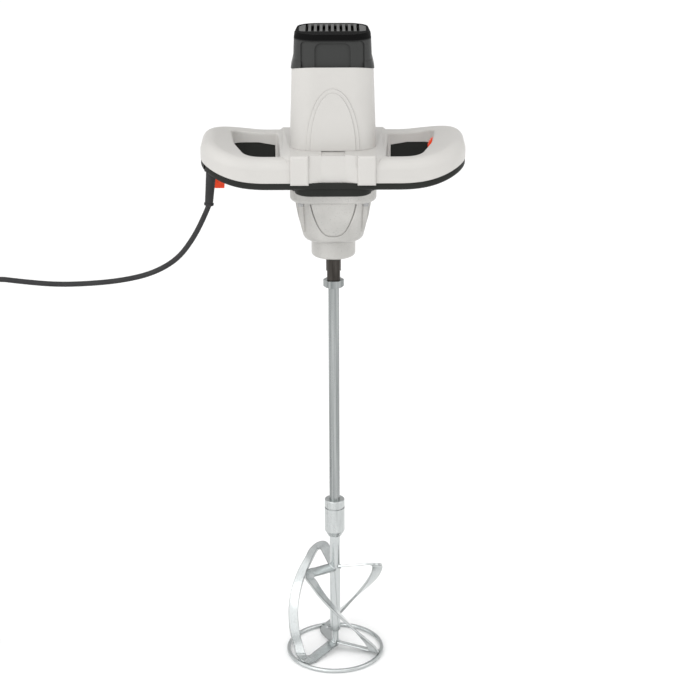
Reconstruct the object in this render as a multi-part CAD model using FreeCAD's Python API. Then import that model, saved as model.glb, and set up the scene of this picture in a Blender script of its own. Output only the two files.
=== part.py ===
import FreeCAD, Part
import math
import os

V = FreeCAD.Vector
UP = V(0, 0, 1)
ALONG_X = V(1, 0, 0)
ALONG_Y = V(0, 1, 0)

# Mixing drill: a two-handed paddle mixer. Millimetres, +Z up along the spindle, the front is -Y,
# and the floor under the mixing ring is Z = 0.

# Gaps and overruns
overrun = 2.0
running_gap = 0.05      # shaft in its bearing, turning
seat_gap = 0.05         # fixed piece in its seat
free_gap = 0.5          # between pieces that move past each other

# Stack of heights up the spindle axis
paddle_height = 563.0   # floor to the end face of the spindle
spindle_show = 35.0
collar_height = 26.0
gear_body_height = 57.0
flange_thickness = 16.0
belly_depth = 9.0       # middle of the lower shell, below its rails
lower_shell_depth = 10.0
upper_shell_height = 36.0
motor_height = 106.0
cap_height = 40.0

z_spindle = paddle_height
z_collar = z_spindle + spindle_show
z_body = z_collar + collar_height
z_flange = z_body + gear_body_height
z_belly = z_flange + flange_thickness
z_rail = z_belly + belly_depth
z_seam = z_rail + lower_shell_depth
z_block = z_seam + upper_shell_height
z_cap = z_block + motor_height
z_top = z_cap + cap_height

# Paddle
ring_dia = 140.0
ring_wire_dia = 6.0
shaft_dia = 14.5
shaft_foot_z = 32.0     # where the shaft steps down to its stub
stub_dia = 10.0
arm_z = 134.0           # top arms at the shaft
arm_rise = 8.0          # top arms, outwards
foot_z = 12.0           # bottom arms at the shaft
foot_fall = 7.4         # bottom arms, outwards to the ring
blade_count = 3
blade_width = 13.6
blade_thickness = 3.0
blade_start = -12.0     # degrees, first top arm from +X
blade_wind = 120.0      # degrees from the top arm to the bottom arm
arm_pitch = 28.0        # degrees, a top arm's leading edge down
foot_pitch = 20.0       # and a bottom arm's
bend_radius = 11.0      # arm into ribbon, at the strip's middle
arm_root_share = 0.7    # of the shaft's radius, where an arm starts
arm_steps = 4           # stations along a blade's strip
bend_steps = 4
ribbon_steps = 10
coupling_dia = 28.0
coupling_z = 184.0
coupling_length = 56.0
coupling_cone = 8.0
coupling_nose_dia = 19.0
coupling_depth = 26.0   # each shaft's end in the coupling
coupling_groove = 1.6
hex_flats = 24.0
hex_height = 10.0
hex_chamfer = 1.5
stud_length = 26.0
stud_dia = 13.8

# Spindle and its bearings
spindle_dia = 20.0
spindle_flats = 17.4
spindle_flat_length = 13.0
socket_depth = 30.0
spindle_top_dia = 16.0  # seat of the output gear
bearing_dia = 42.0
bearing_width = 12.0
bearing_land = 6.0      # shoulder between the two spindle bearings
bearing_wall = 4.0      # one ring of a bearing
seal_width = 4.0
seal_inset = 1.0

# Gearbox housing
flange_width = 112.7
flange_corner = 28.0
flange_round = 5.0
body_width = 86.0
body_depth = 92.0
body_corner = 34.0
body_taper = 6.0
body_round = 9.0
collar_dia = 58.5
collar_round = 4.0
gear_floor = 12.0       # gearbox floor above the collar
gear_wall = 7.0
pocket_wall = 5.6
pocket_floor = 2.4
fin_thickness = 3.0
fin_reach = 50.5
fin_bow = 2.4           # a fin's outer edge, outwards from a straight line
fin_height = 45.0
fin_spacing = 12.0
shield_width = 62.0
shield_groove = 1.6
shield_depth = 1.4
shield_foot = 10.5      # shield's tip above the body's lower edge
shield_half_shares = (1, 0.9, 0.7, 0.5, 0.3)
shield_fall_shares = (0, 0.3, 0.645, 0.86, 0.965)

# Gear train: pinion, intermediate gear, intermediate pinion, output gear
gear_distance = 25.5
first_module = 1.0
motor_teeth = 8
wheel_teeth = 43
second_module = 1.5
pinion_teeth = 7
output_teeth = 27
tooth_tip_share = 0.8    # tip above the pitch circle, of the module
tooth_root_share = 1.15  # root below the pitch circle, of the module
tip_half_share = 0.09    # half a tooth at its tip, of the pitch
root_half_share = 0.30   # half a tooth at its root, of the pitch
first_gear_width = 10.0
first_gear_lift = 3.0    # above the flange's lower face
second_gear_width = 15.0
second_gear_lift = 36.0  # above the gearbox body's lower edge
counter_dia = 8.0
counter_end_dia = 6.0
small_bearing_dia = 19.0
small_bearing_width = 6.0
small_bearing_wall = 2.2
boss_wall = 2.5
ring_thickness = 1.6
ring_width = 3.0
plate_dia = 80.0
plate_thickness = 8.0

# Motor
armature_dia = 10.0
armature_top_dia = 8.0
lower_bearing_dia = 26.0
upper_bearing_dia = 22.0
upper_bearing_width = 7.0
upper_bearing_lift = 8.0   # above the motor housing
core_dia = 49.0
core_length = 56.0
core_neck_dia = 16.0
winding_dia = 43.0
winding_length = 8.0
stator_bore = 50.0
stator_dia = 88.0
stator_length = 60.0
stator_lift = 18.0         # above the handle block
coil_head = 9.0
coil_head_wall = 8.0
commutator_dia = 28.0
commutator_length = 16.0
commutator_lift = 90.0     # above the handle block
fan_dia = 74.0
fan_hub_dia = 20.0
fan_plate = 2.0
fan_height = 12.0
fan_lift = 4.0             # above the gear plate
fan_blades = 11
fan_blade_thickness = 1.8
fan_blade_inner_dia = 34.0
brush_width = 7.0
brush_height = 11.0
brush_length = 18.0
holder_wall = 1.6

# Motor housing and cap
motor_top_width = 104.0
motor_foot_width = 111.5
motor_top_depth = 100.0
motor_foot_depth = 106.0
motor_corner = 28.0
arch_width = 68.0
arch_height = 79.0
arch_border = 5.0
arch_proud = 2.4
cap_dip = 7.5              # the seam under the cap, lower at the sides than at the front
cap_foot_width = 100.6
cap_foot_depth = 97.0
cap_top_width = 91.0
cap_top_depth = 86.0
cap_corner = 26.0
cap_shoulder = 7.0
cap_wall = 3.0
skirt_height = 6.0
skirt_flare = 1.5
panel_width = 80.0
panel_corner = 6.0
panel_depth = 1.2
niche_width = 45.0
niche_head = 3.4           # plain strip above the niche
niche_corner = 8.0
niche_depth = 3.4
grille_margin = 2.5
grille_front = 18.0        # the grille's front edge, before the spindle axis
grille_corner = 8.0
grille_thickness = 2.5
grille_drop = 0.6
slot_count = 10
slot_width = 3.7
slot_side = 8.5            # plain strip beside the slots
slot_end = 3.5             # and at their ends
spoke_width = 8.0          # holds the motor's upper bearing under the grille
bolt_dia = 4.4
bolt_head_dia = 8.0
bolt_head = 4.0
bolt_sink = 6.0            # heads' seats above the handle's seam
bolt_x = 34.5
bolt_y = 32.5
bolt_end = 18.0            # the bolts end this far below the cap's top
boss_dia = 11.0

# Handle: loop of two shells
handle_width = 343.0
handle_depth = 160.0
handle_corner = 62.0
horn_length = 86.5         # outer part of the handle, which curves upwards
horn_radius = 198.0
crest_tilt = 2.3           # degrees, the handle's top climbs to the back
block_rise = 3.0           # middle block above the handle's top, on the axis
block_slope_depth = 6.0    # height of the block's leaning sides
block_inset = 0.8          # block's front and back, inside the handle's
block_front = 53.0         # half of the block's top, at the front
block_back = 67.0          # and at the back
block_front_foot = 56.0    # half of the block under its leaning sides, at the front
block_back_foot = 75.0     # and at the back
front_rail_width = 20.0
back_rail_width = 30.0
grip_front_width = 60.5    # from the opening's front corner to the handle's end
grip_width = 43.5          # at the bend of the opening's outer wall
grip_back_width = 36.0
grip_bend_y = -12.0
rib_front = 67.0           # opening's inner wall, at the front
rib_back = 73.0            # and at the back
front_corner = 18.0
corner_share = 0.6         # of the opening's front, at most, for its corner's radius
grip_bend_radius = 90.0
back_corner = 14.0
rib_corner = 4.0
liner_wall = 2.6           # lower shell's wall inside the openings
liner_height = 22.4        # above the seam
liner_drop = 4.5
liner_run = 26.0           # sloping part, beside the rib
outer_round = 14.0
inner_round = 3.0
lower_outer_round = 6.5
lower_inner_round = 3.0
shell_wall = 4.0
shell_crown = 6.0          # top of the upper shell, over its hollow
upper_wall = 10.0          # outer wall of the upper shell, under its rounding
shell_step = 0.4           # lower shell inside the upper one's edge
block_half = 77.0          # solid middle of the handle
motor_bore = 84.0
belly_width = 104.0         # at its top
belly_taper = 6.0
belly_length = 152.0
belly_corner = 22.0
belly_round = 2.5
pad_inner = 31.0
pad_outer = 54.5
pad_proud = 4.0
pad_lip = 2.4
pad_round = 3.0
notch_half = 15.0
notch_depth = 4.0
notch_run = 27.0           # groove on the block's top, back from the front
notch_sink = 1.2
boss_radius = 5.5
grip_screw_inset = 31.5
grip_screw_edge = 22.0     # from the handle's front and back
handle_screw_dia = 4.0
handle_screw_head_dia = 7.5
handle_screw_length = 22.0
handle_screw_sink = 2.0
gear_screw_dia = 5.0
gear_screw_head_dia = 8.5
gear_screw_head = 5.0
gear_screw_length = 48.0
gear_screw_place = 42.0

# Trigger, under the left grip
trigger_inset = 23.5       # from the handle's outer end
trigger_width = 13.0
trigger_front = -24.0
trigger_length = 56.0
trigger_drop = 22.4        # below the handle
trigger_top = 3.0          # above the handle's lower face
trigger_pin_lift = 11.0
trigger_nose = 6.0
trigger_pin_dia = 3.0
trigger_pin_inset = 5.0
trigger_eye = 4.5
pin_length = 19.0
switch_width = 20.0
switch_length = 44.0
switch_lead = 2.0          # in front of the trigger
switch_height = 18.0
switch_lift = 12.0         # above the handle's lower face

# Speed dial, in the inner wall of the right grip
dial_dia = 28.0
dial_width = 9.0
dial_y = 20.0
dial_drop = 17.8           # below the handle's top
dial_proud = 7.0
dial_pin_dia = 3.0
dial_pin_length = 17.0
dial_ribs = 20
dial_rib_depth = 0.7
module_width = 36.0
module_length = 26.0
module_height = 20.0

# Cord guard, cord and plug
cord_dia = 7.0
cord_bend_share = 0.45       # of a run, for the arc at each of its ends
guard_inset = 14.5         # from the handle's outer end
guard_y = -42.0
guard_length = 42.0
guard_dia = 13.0
guard_end_dia = 10.6
guard_lip_dia = 12.6
guard_lip = 3.0
guard_lean = 4.0           # to the left over its length
guard_seat = 7.0           # collar held inside the lower shell
guard_seat_dia = 17.0
coil_x = -551.0
coil_y = 12.0
coil_radius = 52.0
coil_step = 7.8            # from turn to turn
coil_layer = 7.7           # from layer to layer
coil_quarters = 10         # quarter turns in each layer
coil_climb_inset = 2.2
tie_thickness = 1.2
tie_gap = 0.3
tie_width = 5.0
plug_width = 36.0
plug_length = 34.0
plug_neck = 14.0
plug_neck_dia = 12.0
plug_corner = 9.0
pin_dia = 4.8
pin_reach = 19.0
pin_spacing = 19.0
tail_length = 14.0

z_crest = z_block - block_rise
horn_start = handle_width / 2 - horn_length
opening_front = front_rail_width - handle_depth / 2
opening_back = handle_depth / 2 - back_rail_width
trigger_x = trigger_inset - handle_width / 2
guard_x = guard_inset - handle_width / 2


def rise(x):
    """How far the handle has curved up at a place across it."""
    over = max(0, abs(x) - horn_start)
    return horn_radius - math.sqrt(horn_radius ** 2 - over ** 2)


trigger_rail = z_rail + rise(trigger_x)
guard_rail = z_rail + rise(guard_x)
coil_z = tie_thickness + tie_gap + cord_dia / 2
guard_end = V(guard_x - guard_lean, guard_y, guard_rail - guard_length)

# The cord's route from its guard to the coil, chosen by hand: out to the left in a sagging bow, then down
cord_route = [
    guard_end,
    V(-165, -42, 657),
    V(-178, -42, 632),
    V(-201, -42, 605),
    V(-235, -42, 585),
    V(-276, -42, 574.5),
    V(-320, -42, 570),
    V(-364, -42, 569.5),
    V(-408, -42, 574),
    V(-449, -41, 575),
    V(-482, -40, 558),
    V(-498, -39, 519),
    V(-503, -40, 460),
    V(-504, -43, 380),
    V(-503, -46, 298),
    V(-500, -49, 212),
    V(-499, -51, 130),
    V(-499, -50, 70),
    V(-499, -40, 28),
    V(coil_x + coil_radius, -14, coil_z),
    V(coil_x + coil_radius, coil_y, coil_z),
]


def cylinder(radius, low, high, x=0, y=0):
    return Part.makeCylinder(radius, high - low, V(x, y, low))


def tube(outer, inner, low, high, x=0, y=0):
    return cylinder(outer, low, high, x, y).cut(cylinder(inner, low - overrun, high + overrun, x, y))


def block(x_low, x_high, y_low, y_high, z_low, z_high):
    return Part.makeBox(x_high - x_low, y_high - y_low, z_high - z_low, V(x_low, y_low, z_low))


def rounded_loop(points, *radii):
    """Closed wire of straight runs joined by tangent arcs. One radius, or one for each corner."""
    arcs = []
    for index, corner in enumerate(points):
        radius = radii[index % len(radii)]
        back = (points[index - 1] - corner).normalize()
        ahead = (points[(index + 1) % len(points)] - corner).normalize()
        half = back.getAngle(ahead) / 2
        reach = radius / math.tan(half)
        inwards = (back + ahead).normalize()
        centre = corner + inwards * (radius / math.sin(half))
        arcs.append(Part.Arc(corner + back * reach, centre - inwards * radius, corner + ahead * reach))
    edges = []
    for first, second in zip(arcs, arcs[1:] + arcs[:1]):
        edges.append(first.toShape())
        edges.append(Part.LineSegment(first.EndPoint, second.StartPoint).toShape())
    return Part.Wire(edges)


def rounded_rectangle(width, depth, corner, z, x=0, y=0):
    signs = ((1, -1), (1, 1), (-1, 1), (-1, -1))
    return rounded_loop([V(x + sx * width / 2, y + sy * depth / 2, z) for sx, sy in signs], corner)


def prism(wire, height):
    return Part.Face(wire).extrude(UP * height)


def polygon_prism(points, travel):
    return Part.Face(Part.makePolygon(points + points[:1])).extrude(travel)


def loft(wires):
    return Part.makeLoft(wires, True, True)


def round_edges(shape, radius, chosen):
    return shape.makeFillet(radius, [edge for edge in shape.Edges if chosen(edge.BoundBox)])


def bent_slab(low, high):
    """Slab across the whole handle, flat in the middle and curving up at both ends."""
    reach = handle_width / 2 + overrun
    middle = (horn_start + reach) / 2
    front = -handle_depth

    def curve(side, z):
        places = (horn_start, middle, reach)
        return Part.Arc(*[V(side * x, front, z + rise(x)) for x in places]).toShape()

    edges = []
    for z in (low, high):
        edges += [curve(-1, z), curve(1, z)]
        edges.append(Part.LineSegment(V(-horn_start, front, z), V(horn_start, front, z)).toShape())
    for side in (-1, 1):
        edges.append(Part.LineSegment(V(side * reach, front, low + rise(reach)),
                                      V(side * reach, front, high + rise(reach))).toShape())
    return Part.Face(Part.Wire(Part.__sortEdges__(edges))).extrude(ALONG_Y * (2 * handle_depth))


def climbing_slab(low, high):
    """Bent slab with a top that climbs to the back and is at its height on the axis."""
    top = bent_slab(z_body, high)
    top.rotate(V(0, 0, high), ALONG_X, crest_tilt)
    return bent_slab(low, high + handle_depth).common(top)


def round_bent_edges(shape, radius, z, front, back, tilt=0):
    """Rounds the edges that lie on the bent sheet at z, between a front and a back."""
    slack = seat_gap / 5
    lean = math.radians(tilt)
    chosen = []
    for edge in shape.Edges:
        points = edge.discretize(Number=bend_steps + 1)
        lifts = [(point.z - z) * math.cos(lean) - point.y * math.sin(lean) for point in points]
        on_sheet = all(abs(lift - rise(point.x)) < slack for lift, point in zip(lifts, points))
        across = all(abs(abs(point.x) - horn_start) < slack for point in points)
        inside = all(front < point.y < back for point in points)
        if on_sheet and inside and not across:
            chosen.append(edge)
    return shape.makeFillet(radius, chosen)


def on_both_sides(piece):
    return piece.fuse(piece.mirror(V(0, 0, 0), ALONG_X))


def at_level(box, z, slack=0.01):
    return abs(box.ZMin - z) < slack and abs(box.ZMax - z) < slack


def spur_gear(teeth, module, low, high, bore, y=0, phase=0):
    pitch_radius = teeth * module / 2
    root = pitch_radius - tooth_root_share * module
    tip = pitch_radius + tooth_tip_share * module
    step = 360 / teeth
    corners = ((root, -root_half_share), (tip, -tip_half_share), (tip, tip_half_share),
               (root, root_half_share))
    points = []
    for tooth in range(teeth):
        for radius, share in corners:
            angle = math.radians(phase + (tooth + share) * step)
            points.append(V(radius * math.cos(angle), y + radius * math.sin(angle), low))
    wheel = polygon_prism(points, UP * (high - low))
    return wheel.cut(cylinder(bore, low - overrun, high + overrun, 0, y)) if bore else wheel


def ball_bearing(outer_dia, bore_dia, wall, low, high, y=0):
    """Two rings with a recessed shield between them, in one piece."""
    recess = (high - low) / 8
    outer_ring = tube(outer_dia / 2, outer_dia / 2 - wall, low, high, 0, y)
    inner_ring = tube(bore_dia / 2 + wall, bore_dia / 2, low, high, 0, y)
    shield = tube(outer_dia / 2 - wall, bore_dia / 2 + wall, low + recess, high - recess, 0, y)
    return outer_ring.fuse([inner_ring, shield]).removeSplitter()


def screw(x, y, head_z, head_dia, head, dia, length, upwards):
    """A round-headed screw. The head's seating face is at head_z."""
    turn = 1 if upwards else -1
    shank = Part.makeCylinder(dia / 2, length, V(x, y, head_z), UP * turn)
    cap = Part.makeCylinder(head_dia / 2, head, V(x, y, head_z), UP * -turn)
    return cap.fuse(shank).removeSplitter()


# Paddle

def blade(index):
    """A flat strip: pitched arm out from the shaft, in-plane bend, twisted ribbon, bend, arm back in."""
    ribbon_radius = ring_dia / 2 - ring_wire_dia / 2 - blade_width / 2
    start = math.radians(blade_start + 360 * index / blade_count)
    wind = math.radians(blade_wind)
    arm_lean = math.radians(arm_pitch)
    foot_lean = math.radians(foot_pitch)
    bend_turn = bend_radius * math.cos(arm_lean) / ribbon_radius
    bend_drop = bend_radius * math.sin(arm_lean)
    foot_rise = bend_radius * math.sin(foot_lean)
    ring_z = foot_z - foot_fall
    bend_in = ribbon_radius - bend_radius
    root_radius = shaft_dia / 2 * arm_root_share
    foot_radius = stub_dia / 2 * arm_root_share
    ribbon_top = arm_z + arm_rise - bend_drop
    ribbon_foot = ring_z + foot_rise
    ribbon_lean = math.atan2(ribbon_top - ribbon_foot, ribbon_radius * (wind - 2 * bend_turn))
    stations = []
    for step in range(arm_steps + 1):
        share = step / arm_steps
        stations.append((root_radius + (bend_in - root_radius) * share, 0, arm_z + arm_rise * share, 0,
                         arm_lean))
    for step in range(1, bend_steps + 1):
        share = step / bend_steps
        turn = math.radians(90 * share)
        lean = arm_lean + (ribbon_lean - arm_lean) * share
        stations.append((bend_in + bend_radius * math.sin(turn), bend_turn * (1 - math.cos(turn)),
                         arm_z + arm_rise - bend_drop * (1 - math.cos(turn)), turn, lean))
    for step in range(1, ribbon_steps):
        share = step / ribbon_steps
        stations.append((ribbon_radius, bend_turn + (wind - 2 * bend_turn) * share,
                         ribbon_top + (ribbon_foot - ribbon_top) * share, math.pi / 2, ribbon_lean))
    for step in range(bend_steps + 1):
        share = step / bend_steps
        turn = math.radians(90 * share)
        lean = ribbon_lean + (foot_lean - ribbon_lean) * share
        stations.append((bend_in + bend_radius * math.cos(turn), wind - bend_turn * (1 - math.sin(turn)),
                         ring_z + foot_rise * (1 - math.sin(turn)), math.pi / 2 + turn, lean))
    for step in range(1, arm_steps + 1):
        share = step / arm_steps
        stations.append((bend_in + (foot_radius - bend_in) * share, wind, ring_z + foot_fall * share,
                         math.pi, foot_lean))
    rails = [[], [], [], []]
    places = []
    for radius, turn, z, heading, lean in stations:
        azimuth = start + turn
        outwards = V(math.cos(azimuth), math.sin(azimuth), 0)
        onwards = V(-math.sin(azimuth), math.cos(azimuth), 0)
        downwards = onwards * math.cos(lean) - UP * math.sin(lean)
        across = downwards * math.cos(heading) - outwards * math.sin(heading)
        normal = UP * math.cos(lean) + onwards * math.sin(lean)
        middle = outwards * radius + UP * z
        places.append(places[-1] + (middle - last).Length if places else 0)
        last = middle
        for rail, sx, sy in zip(rails, (-1, 1, 1, -1), (-1, -1, 1, 1)):
            rail.append(middle + across * (sx * blade_width / 2) + normal * (sy * blade_thickness / 2))
    curves = []
    for rail in rails:
        curve = Part.BSplineCurve()
        curve.interpolate(Points=rail, Parameters=places)
        curves.append(curve.toShape())
    faces = [Part.makeRuledSurface(near, far) for near, far in zip(curves, curves[1:] + curves[:1])]
    for end in (0, -1):
        corners = [rail[end] for rail in rails]
        faces.append(Part.makeRuledSurface(Part.LineSegment(corners[0], corners[1]).toShape(),
                                           Part.LineSegment(corners[3], corners[2]).toShape()))
    skin = Part.makeShell(faces)
    skin.sewShape()
    strip = Part.makeSolid(skin)
    if strip.Volume < 0:
        strip.reverse()
    return strip.cut(lower_shaft()).cut(mixing_ring())


def mixing_ring():
    wire = ring_wire_dia / 2
    return Part.makeTorus(ring_dia / 2 - wire, wire, V(0, 0, wire))


def lower_shaft():
    low = ring_wire_dia
    high = coupling_z + coupling_length - coupling_depth
    rod = cylinder(shaft_dia / 2, shaft_foot_z, high)
    stub = cylinder(stub_dia / 2, low, shaft_foot_z)
    rod = rod.makeChamfer(hex_chamfer, [edge for edge in rod.Edges if at_level(edge.BoundBox, shaft_foot_z)])
    stub = stub.makeChamfer(hex_chamfer, [edge for edge in stub.Edges if at_level(edge.BoundBox, low)])
    return rod.fuse(stub).removeSplitter()


def shaft_coupling():
    radius = coupling_dia / 2
    high = coupling_z + coupling_length
    shoulder = coupling_z + coupling_cone
    sleeve = cylinder(radius, shoulder, high)
    sleeve = sleeve.fuse(Part.makeCone(coupling_nose_dia / 2, radius, coupling_cone, V(0, 0, coupling_z)))
    groove_z = high - coupling_depth / 2
    groove = tube(radius + overrun, radius - coupling_groove / 2, groove_z, groove_z + coupling_groove)
    sleeve = sleeve.removeSplitter().cut(groove)
    sleeve = round_edges(sleeve, coupling_groove, lambda box: at_level(box, high))
    return sleeve.cut(cylinder(shaft_dia / 2, coupling_z - overrun, high + overrun))


def upper_shaft():
    low = coupling_z + coupling_length - coupling_depth
    hex_z = z_spindle - hex_height
    rod = cylinder(shaft_dia / 2, low, hex_z)
    corner = hex_flats / 2 / math.cos(math.pi / 6)
    points = [V(corner * math.cos(math.radians(60 * i)), corner * math.sin(math.radians(60 * i)), hex_z)
              for i in range(6)]
    head = polygon_prism(points, UP * hex_height)
    crown = Part.makeCone(hex_flats / 2, corner + hex_chamfer, hex_chamfer, V(0, 0, hex_z))
    crown = crown.fuse(cylinder(corner + hex_chamfer, hex_z + hex_chamfer, z_spindle)).removeSplitter()
    stud = cylinder(stud_dia / 2, z_spindle, z_spindle + stud_length)
    return rod.fuse([head.common(crown), stud]).removeSplitter()


# Spindle and gearbox

z_floor = z_body + gear_floor
bearing_low = z_collar + seal_inset + seal_width
bearing_high = bearing_low + bearing_width + bearing_land
first_gear_z = z_flange + first_gear_lift
second_gear_z = z_body + second_gear_lift
spindle_end = second_gear_z + second_gear_width + ring_thickness + ring_width


def spindle():
    radius = spindle_dia / 2
    step = bearing_high + bearing_width
    shaft = cylinder(radius, z_spindle, step).fuse(cylinder(spindle_top_dia / 2, step, spindle_end))
    shaft = shaft.removeSplitter()
    side = block(spindle_flats / 2, spindle_dia, -spindle_dia, spindle_dia, z_spindle - overrun,
                 z_spindle + spindle_flat_length)
    shaft = shaft.cut(side).cut(side.mirror(V(0, 0, 0), ALONG_X))
    return shaft.cut(cylinder(stud_dia / 2 + running_gap, z_spindle - overrun, z_spindle + socket_depth))


def oil_seal():
    return tube(bearing_dia / 2 - seat_gap, spindle_dia / 2 + running_gap, z_collar + seal_inset, bearing_low)


def spindle_bearing(low):
    return ball_bearing(bearing_dia - 2 * seat_gap, spindle_dia + 2 * running_gap, bearing_wall, low,
                        low + bearing_width)


def gear_shield(inset):
    """Field on the gearbox's front that narrows to a round tip, drawn in by an inset, as a prism along Y."""
    face_y = -flange_width / 2
    half = shield_width / 2 - inset
    fall = z_flange - z_body - shield_foot - inset
    side = [V(half * wide, face_y, z_flange - fall * down)
            for wide, down in zip(shield_half_shares, shield_fall_shares)]
    tip = V(0, face_y, z_flange - fall)
    other = [V(-point.x, point.y, point.z) for point in reversed(side)]
    curve = Part.BSplineCurve()
    curve.interpolate(side + [tip] + other)
    top = Part.LineSegment(other[-1], side[0])
    return Part.Face(Part.Wire([curve.toShape(), top.toShape()])).extrude(ALONG_Y * -face_y)


def gear_fin(side, place):
    """Thin rib down one side of the gearbox. Its outer edge runs in to the body in a slight bow."""
    y = place - fin_thickness / 2
    low = z_flange - fin_height
    root = side * (body_width / 2 - body_taper - fin_thickness)
    top = V(side * math.sqrt(fin_reach ** 2 - place ** 2), y, z_flange)
    foot = V(side * (body_width / 2 - body_taper / 2), y, low)
    bow = (top + foot) * 0.5 + ALONG_X * (side * fin_bow)
    edges = [Part.Arc(top, bow, foot), Part.LineSegment(foot, V(root, y, low)),
             Part.LineSegment(V(root, y, low), V(root, y, z_flange)),
             Part.LineSegment(V(root, y, z_flange), top)]
    return Part.Face(Part.Wire([edge.toShape() for edge in edges])).extrude(ALONG_Y * fin_thickness)


def gear_body(extra):
    top = rounded_rectangle(body_width + extra, body_depth + extra, body_corner + extra / 2, z_flange)
    foot = rounded_rectangle(body_width - body_taper + extra, body_depth - body_taper + extra,
                             body_corner - body_taper / 2 + extra / 2, z_body)
    return loft([foot, top])


def gearbox_housing():
    body = round_edges(gear_body(0), body_round, lambda box: at_level(box, z_body))
    flange = prism(rounded_rectangle(flange_width, flange_width, flange_corner, z_flange), flange_thickness)
    flange = round_edges(flange, flange_round, lambda box: at_level(box, z_flange))
    collar = cylinder(collar_dia / 2, z_collar, z_body + body_round)
    collar = round_edges(collar, collar_round, lambda box: at_level(box, z_collar))
    groove = gear_shield(0).cut(gear_shield(shield_groove)).cut(gear_body(-2 * shield_depth))
    housing = body.cut(groove).fuse([flange, collar])
    for side in (-1, 1):
        for place in (-fin_spacing, 0, fin_spacing, -2 * fin_spacing):
            housing = housing.fuse(gear_fin(side, place))
    well = prism(rounded_rectangle(body_width - 2 * gear_wall, body_depth - 2 * gear_wall,
                                   body_corner - gear_wall, z_floor), z_belly - z_floor)
    pocket = prism(rounded_rectangle(flange_width - 2 * pocket_wall, flange_width - 2 * pocket_wall,
                                     flange_corner - pocket_wall, z_flange + pocket_floor), flange_thickness)
    for x, y in gear_screw_places:
        pocket = pocket.cut(cylinder(boss_dia / 2, z_flange, z_belly + overrun, x, y))
    boss_high = z_floor + small_bearing_width + ring_thickness
    boss = cylinder(small_bearing_dia / 2 + boss_wall, z_floor - overrun, boss_high, 0, gear_distance)
    seat = cylinder(small_bearing_dia / 2, z_floor + ring_thickness, boss_high + overrun, 0, gear_distance)
    eye = cylinder(counter_end_dia / 2 + free_gap, z_floor, boss_high, 0, gear_distance)
    housing = housing.cut(well).cut(pocket).fuse(boss).cut(seat).cut(eye)
    lower_bore = cylinder(bearing_dia / 2, z_collar - overrun, bearing_low + bearing_width)
    upper_bore = cylinder(bearing_dia / 2, bearing_high, z_floor + overrun)
    neck = cylinder(bearing_dia / 2 - bearing_wall, z_collar, z_floor)
    housing = housing.cut(lower_bore).cut(upper_bore).cut(neck)
    for x, y in gear_screw_places:
        housing = housing.cut(cylinder(gear_screw_dia / 2 + seat_gap, z_flange - overrun, z_belly + overrun,
                                       x, y))
    return housing.removeSplitter()


def output_gear():
    phase = 90 + 180 / output_teeth
    return spur_gear(output_teeth, second_module, second_gear_z, second_gear_z + second_gear_width,
                     spindle_top_dia / 2 + seat_gap, 0, phase)


def gear_clip():
    low = second_gear_z + second_gear_width
    ring = tube(spindle_top_dia / 2 + ring_width, spindle_top_dia / 2 + seat_gap, low, low + ring_thickness)
    return ring.cut(block(-ring_width / 2, ring_width / 2, 0, spindle_dia, low - overrun, low + ring_width))


def counter_shaft():
    low = z_floor + ring_thickness
    high = z_belly + small_bearing_width
    end = low + small_bearing_width
    shaft = cylinder(counter_end_dia / 2, low, high, 0, gear_distance)
    shaft = shaft.fuse(cylinder(counter_dia / 2, end, z_belly, 0, gear_distance))
    pinion = spur_gear(pinion_teeth, second_module, second_gear_z - overrun,
                       second_gear_z + second_gear_width + overrun, 0, gear_distance, 270)
    return shaft.fuse(pinion).removeSplitter()


def counter_gear():
    phase = 270 + 180 / wheel_teeth
    return spur_gear(wheel_teeth, first_module, first_gear_z, first_gear_z + first_gear_width,
                     counter_dia / 2 + seat_gap, gear_distance, phase)


def counter_bearing(low):
    return ball_bearing(small_bearing_dia - 2 * seat_gap, counter_end_dia + 2 * running_gap,
                        small_bearing_wall, low, low + small_bearing_width, gear_distance)


def gear_plate():
    high = z_belly + plate_thickness
    plate = cylinder(plate_dia / 2, z_belly, high)
    plate = plate.cut(cylinder(lower_bearing_dia / 2, z_belly - overrun, high + overrun))
    seat = cylinder(small_bearing_dia / 2, z_belly - overrun, z_belly + small_bearing_width, 0, gear_distance)
    return plate.cut(seat)


# Motor

z_stator = z_block + stator_lift
z_core = z_stator + (stator_length - core_length) / 2
z_commutator = z_block + commutator_lift
z_upper_bearing = z_cap + upper_bearing_lift
z_fan = z_belly + plate_thickness + fan_lift


def armature_shaft():
    pinion = spur_gear(motor_teeth, first_module, first_gear_z, z_belly, 0, 0, 90)
    lower = cylinder(armature_dia / 2, z_belly, z_commutator + commutator_length + overrun)
    upper = cylinder(armature_top_dia / 2, z_commutator, z_upper_bearing + upper_bearing_width)
    return pinion.fuse([lower, upper]).removeSplitter()


def armature_core():
    bore = armature_dia / 2 + seat_gap
    core = tube(core_dia / 2, bore, z_core, z_core + core_length)
    ends = [tube(winding_dia / 2, bore, z_core - winding_length, z_core),
            tube(winding_dia / 2, bore, z_core + core_length, z_core + core_length + winding_length)]
    neck = tube(core_neck_dia / 2, bore, z_core + core_length, z_commutator)
    return core.fuse(ends + [neck]).removeSplitter()


def commutator():
    return tube(commutator_dia / 2, armature_dia / 2 + seat_gap, z_commutator,
                z_commutator + commutator_length)


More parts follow.
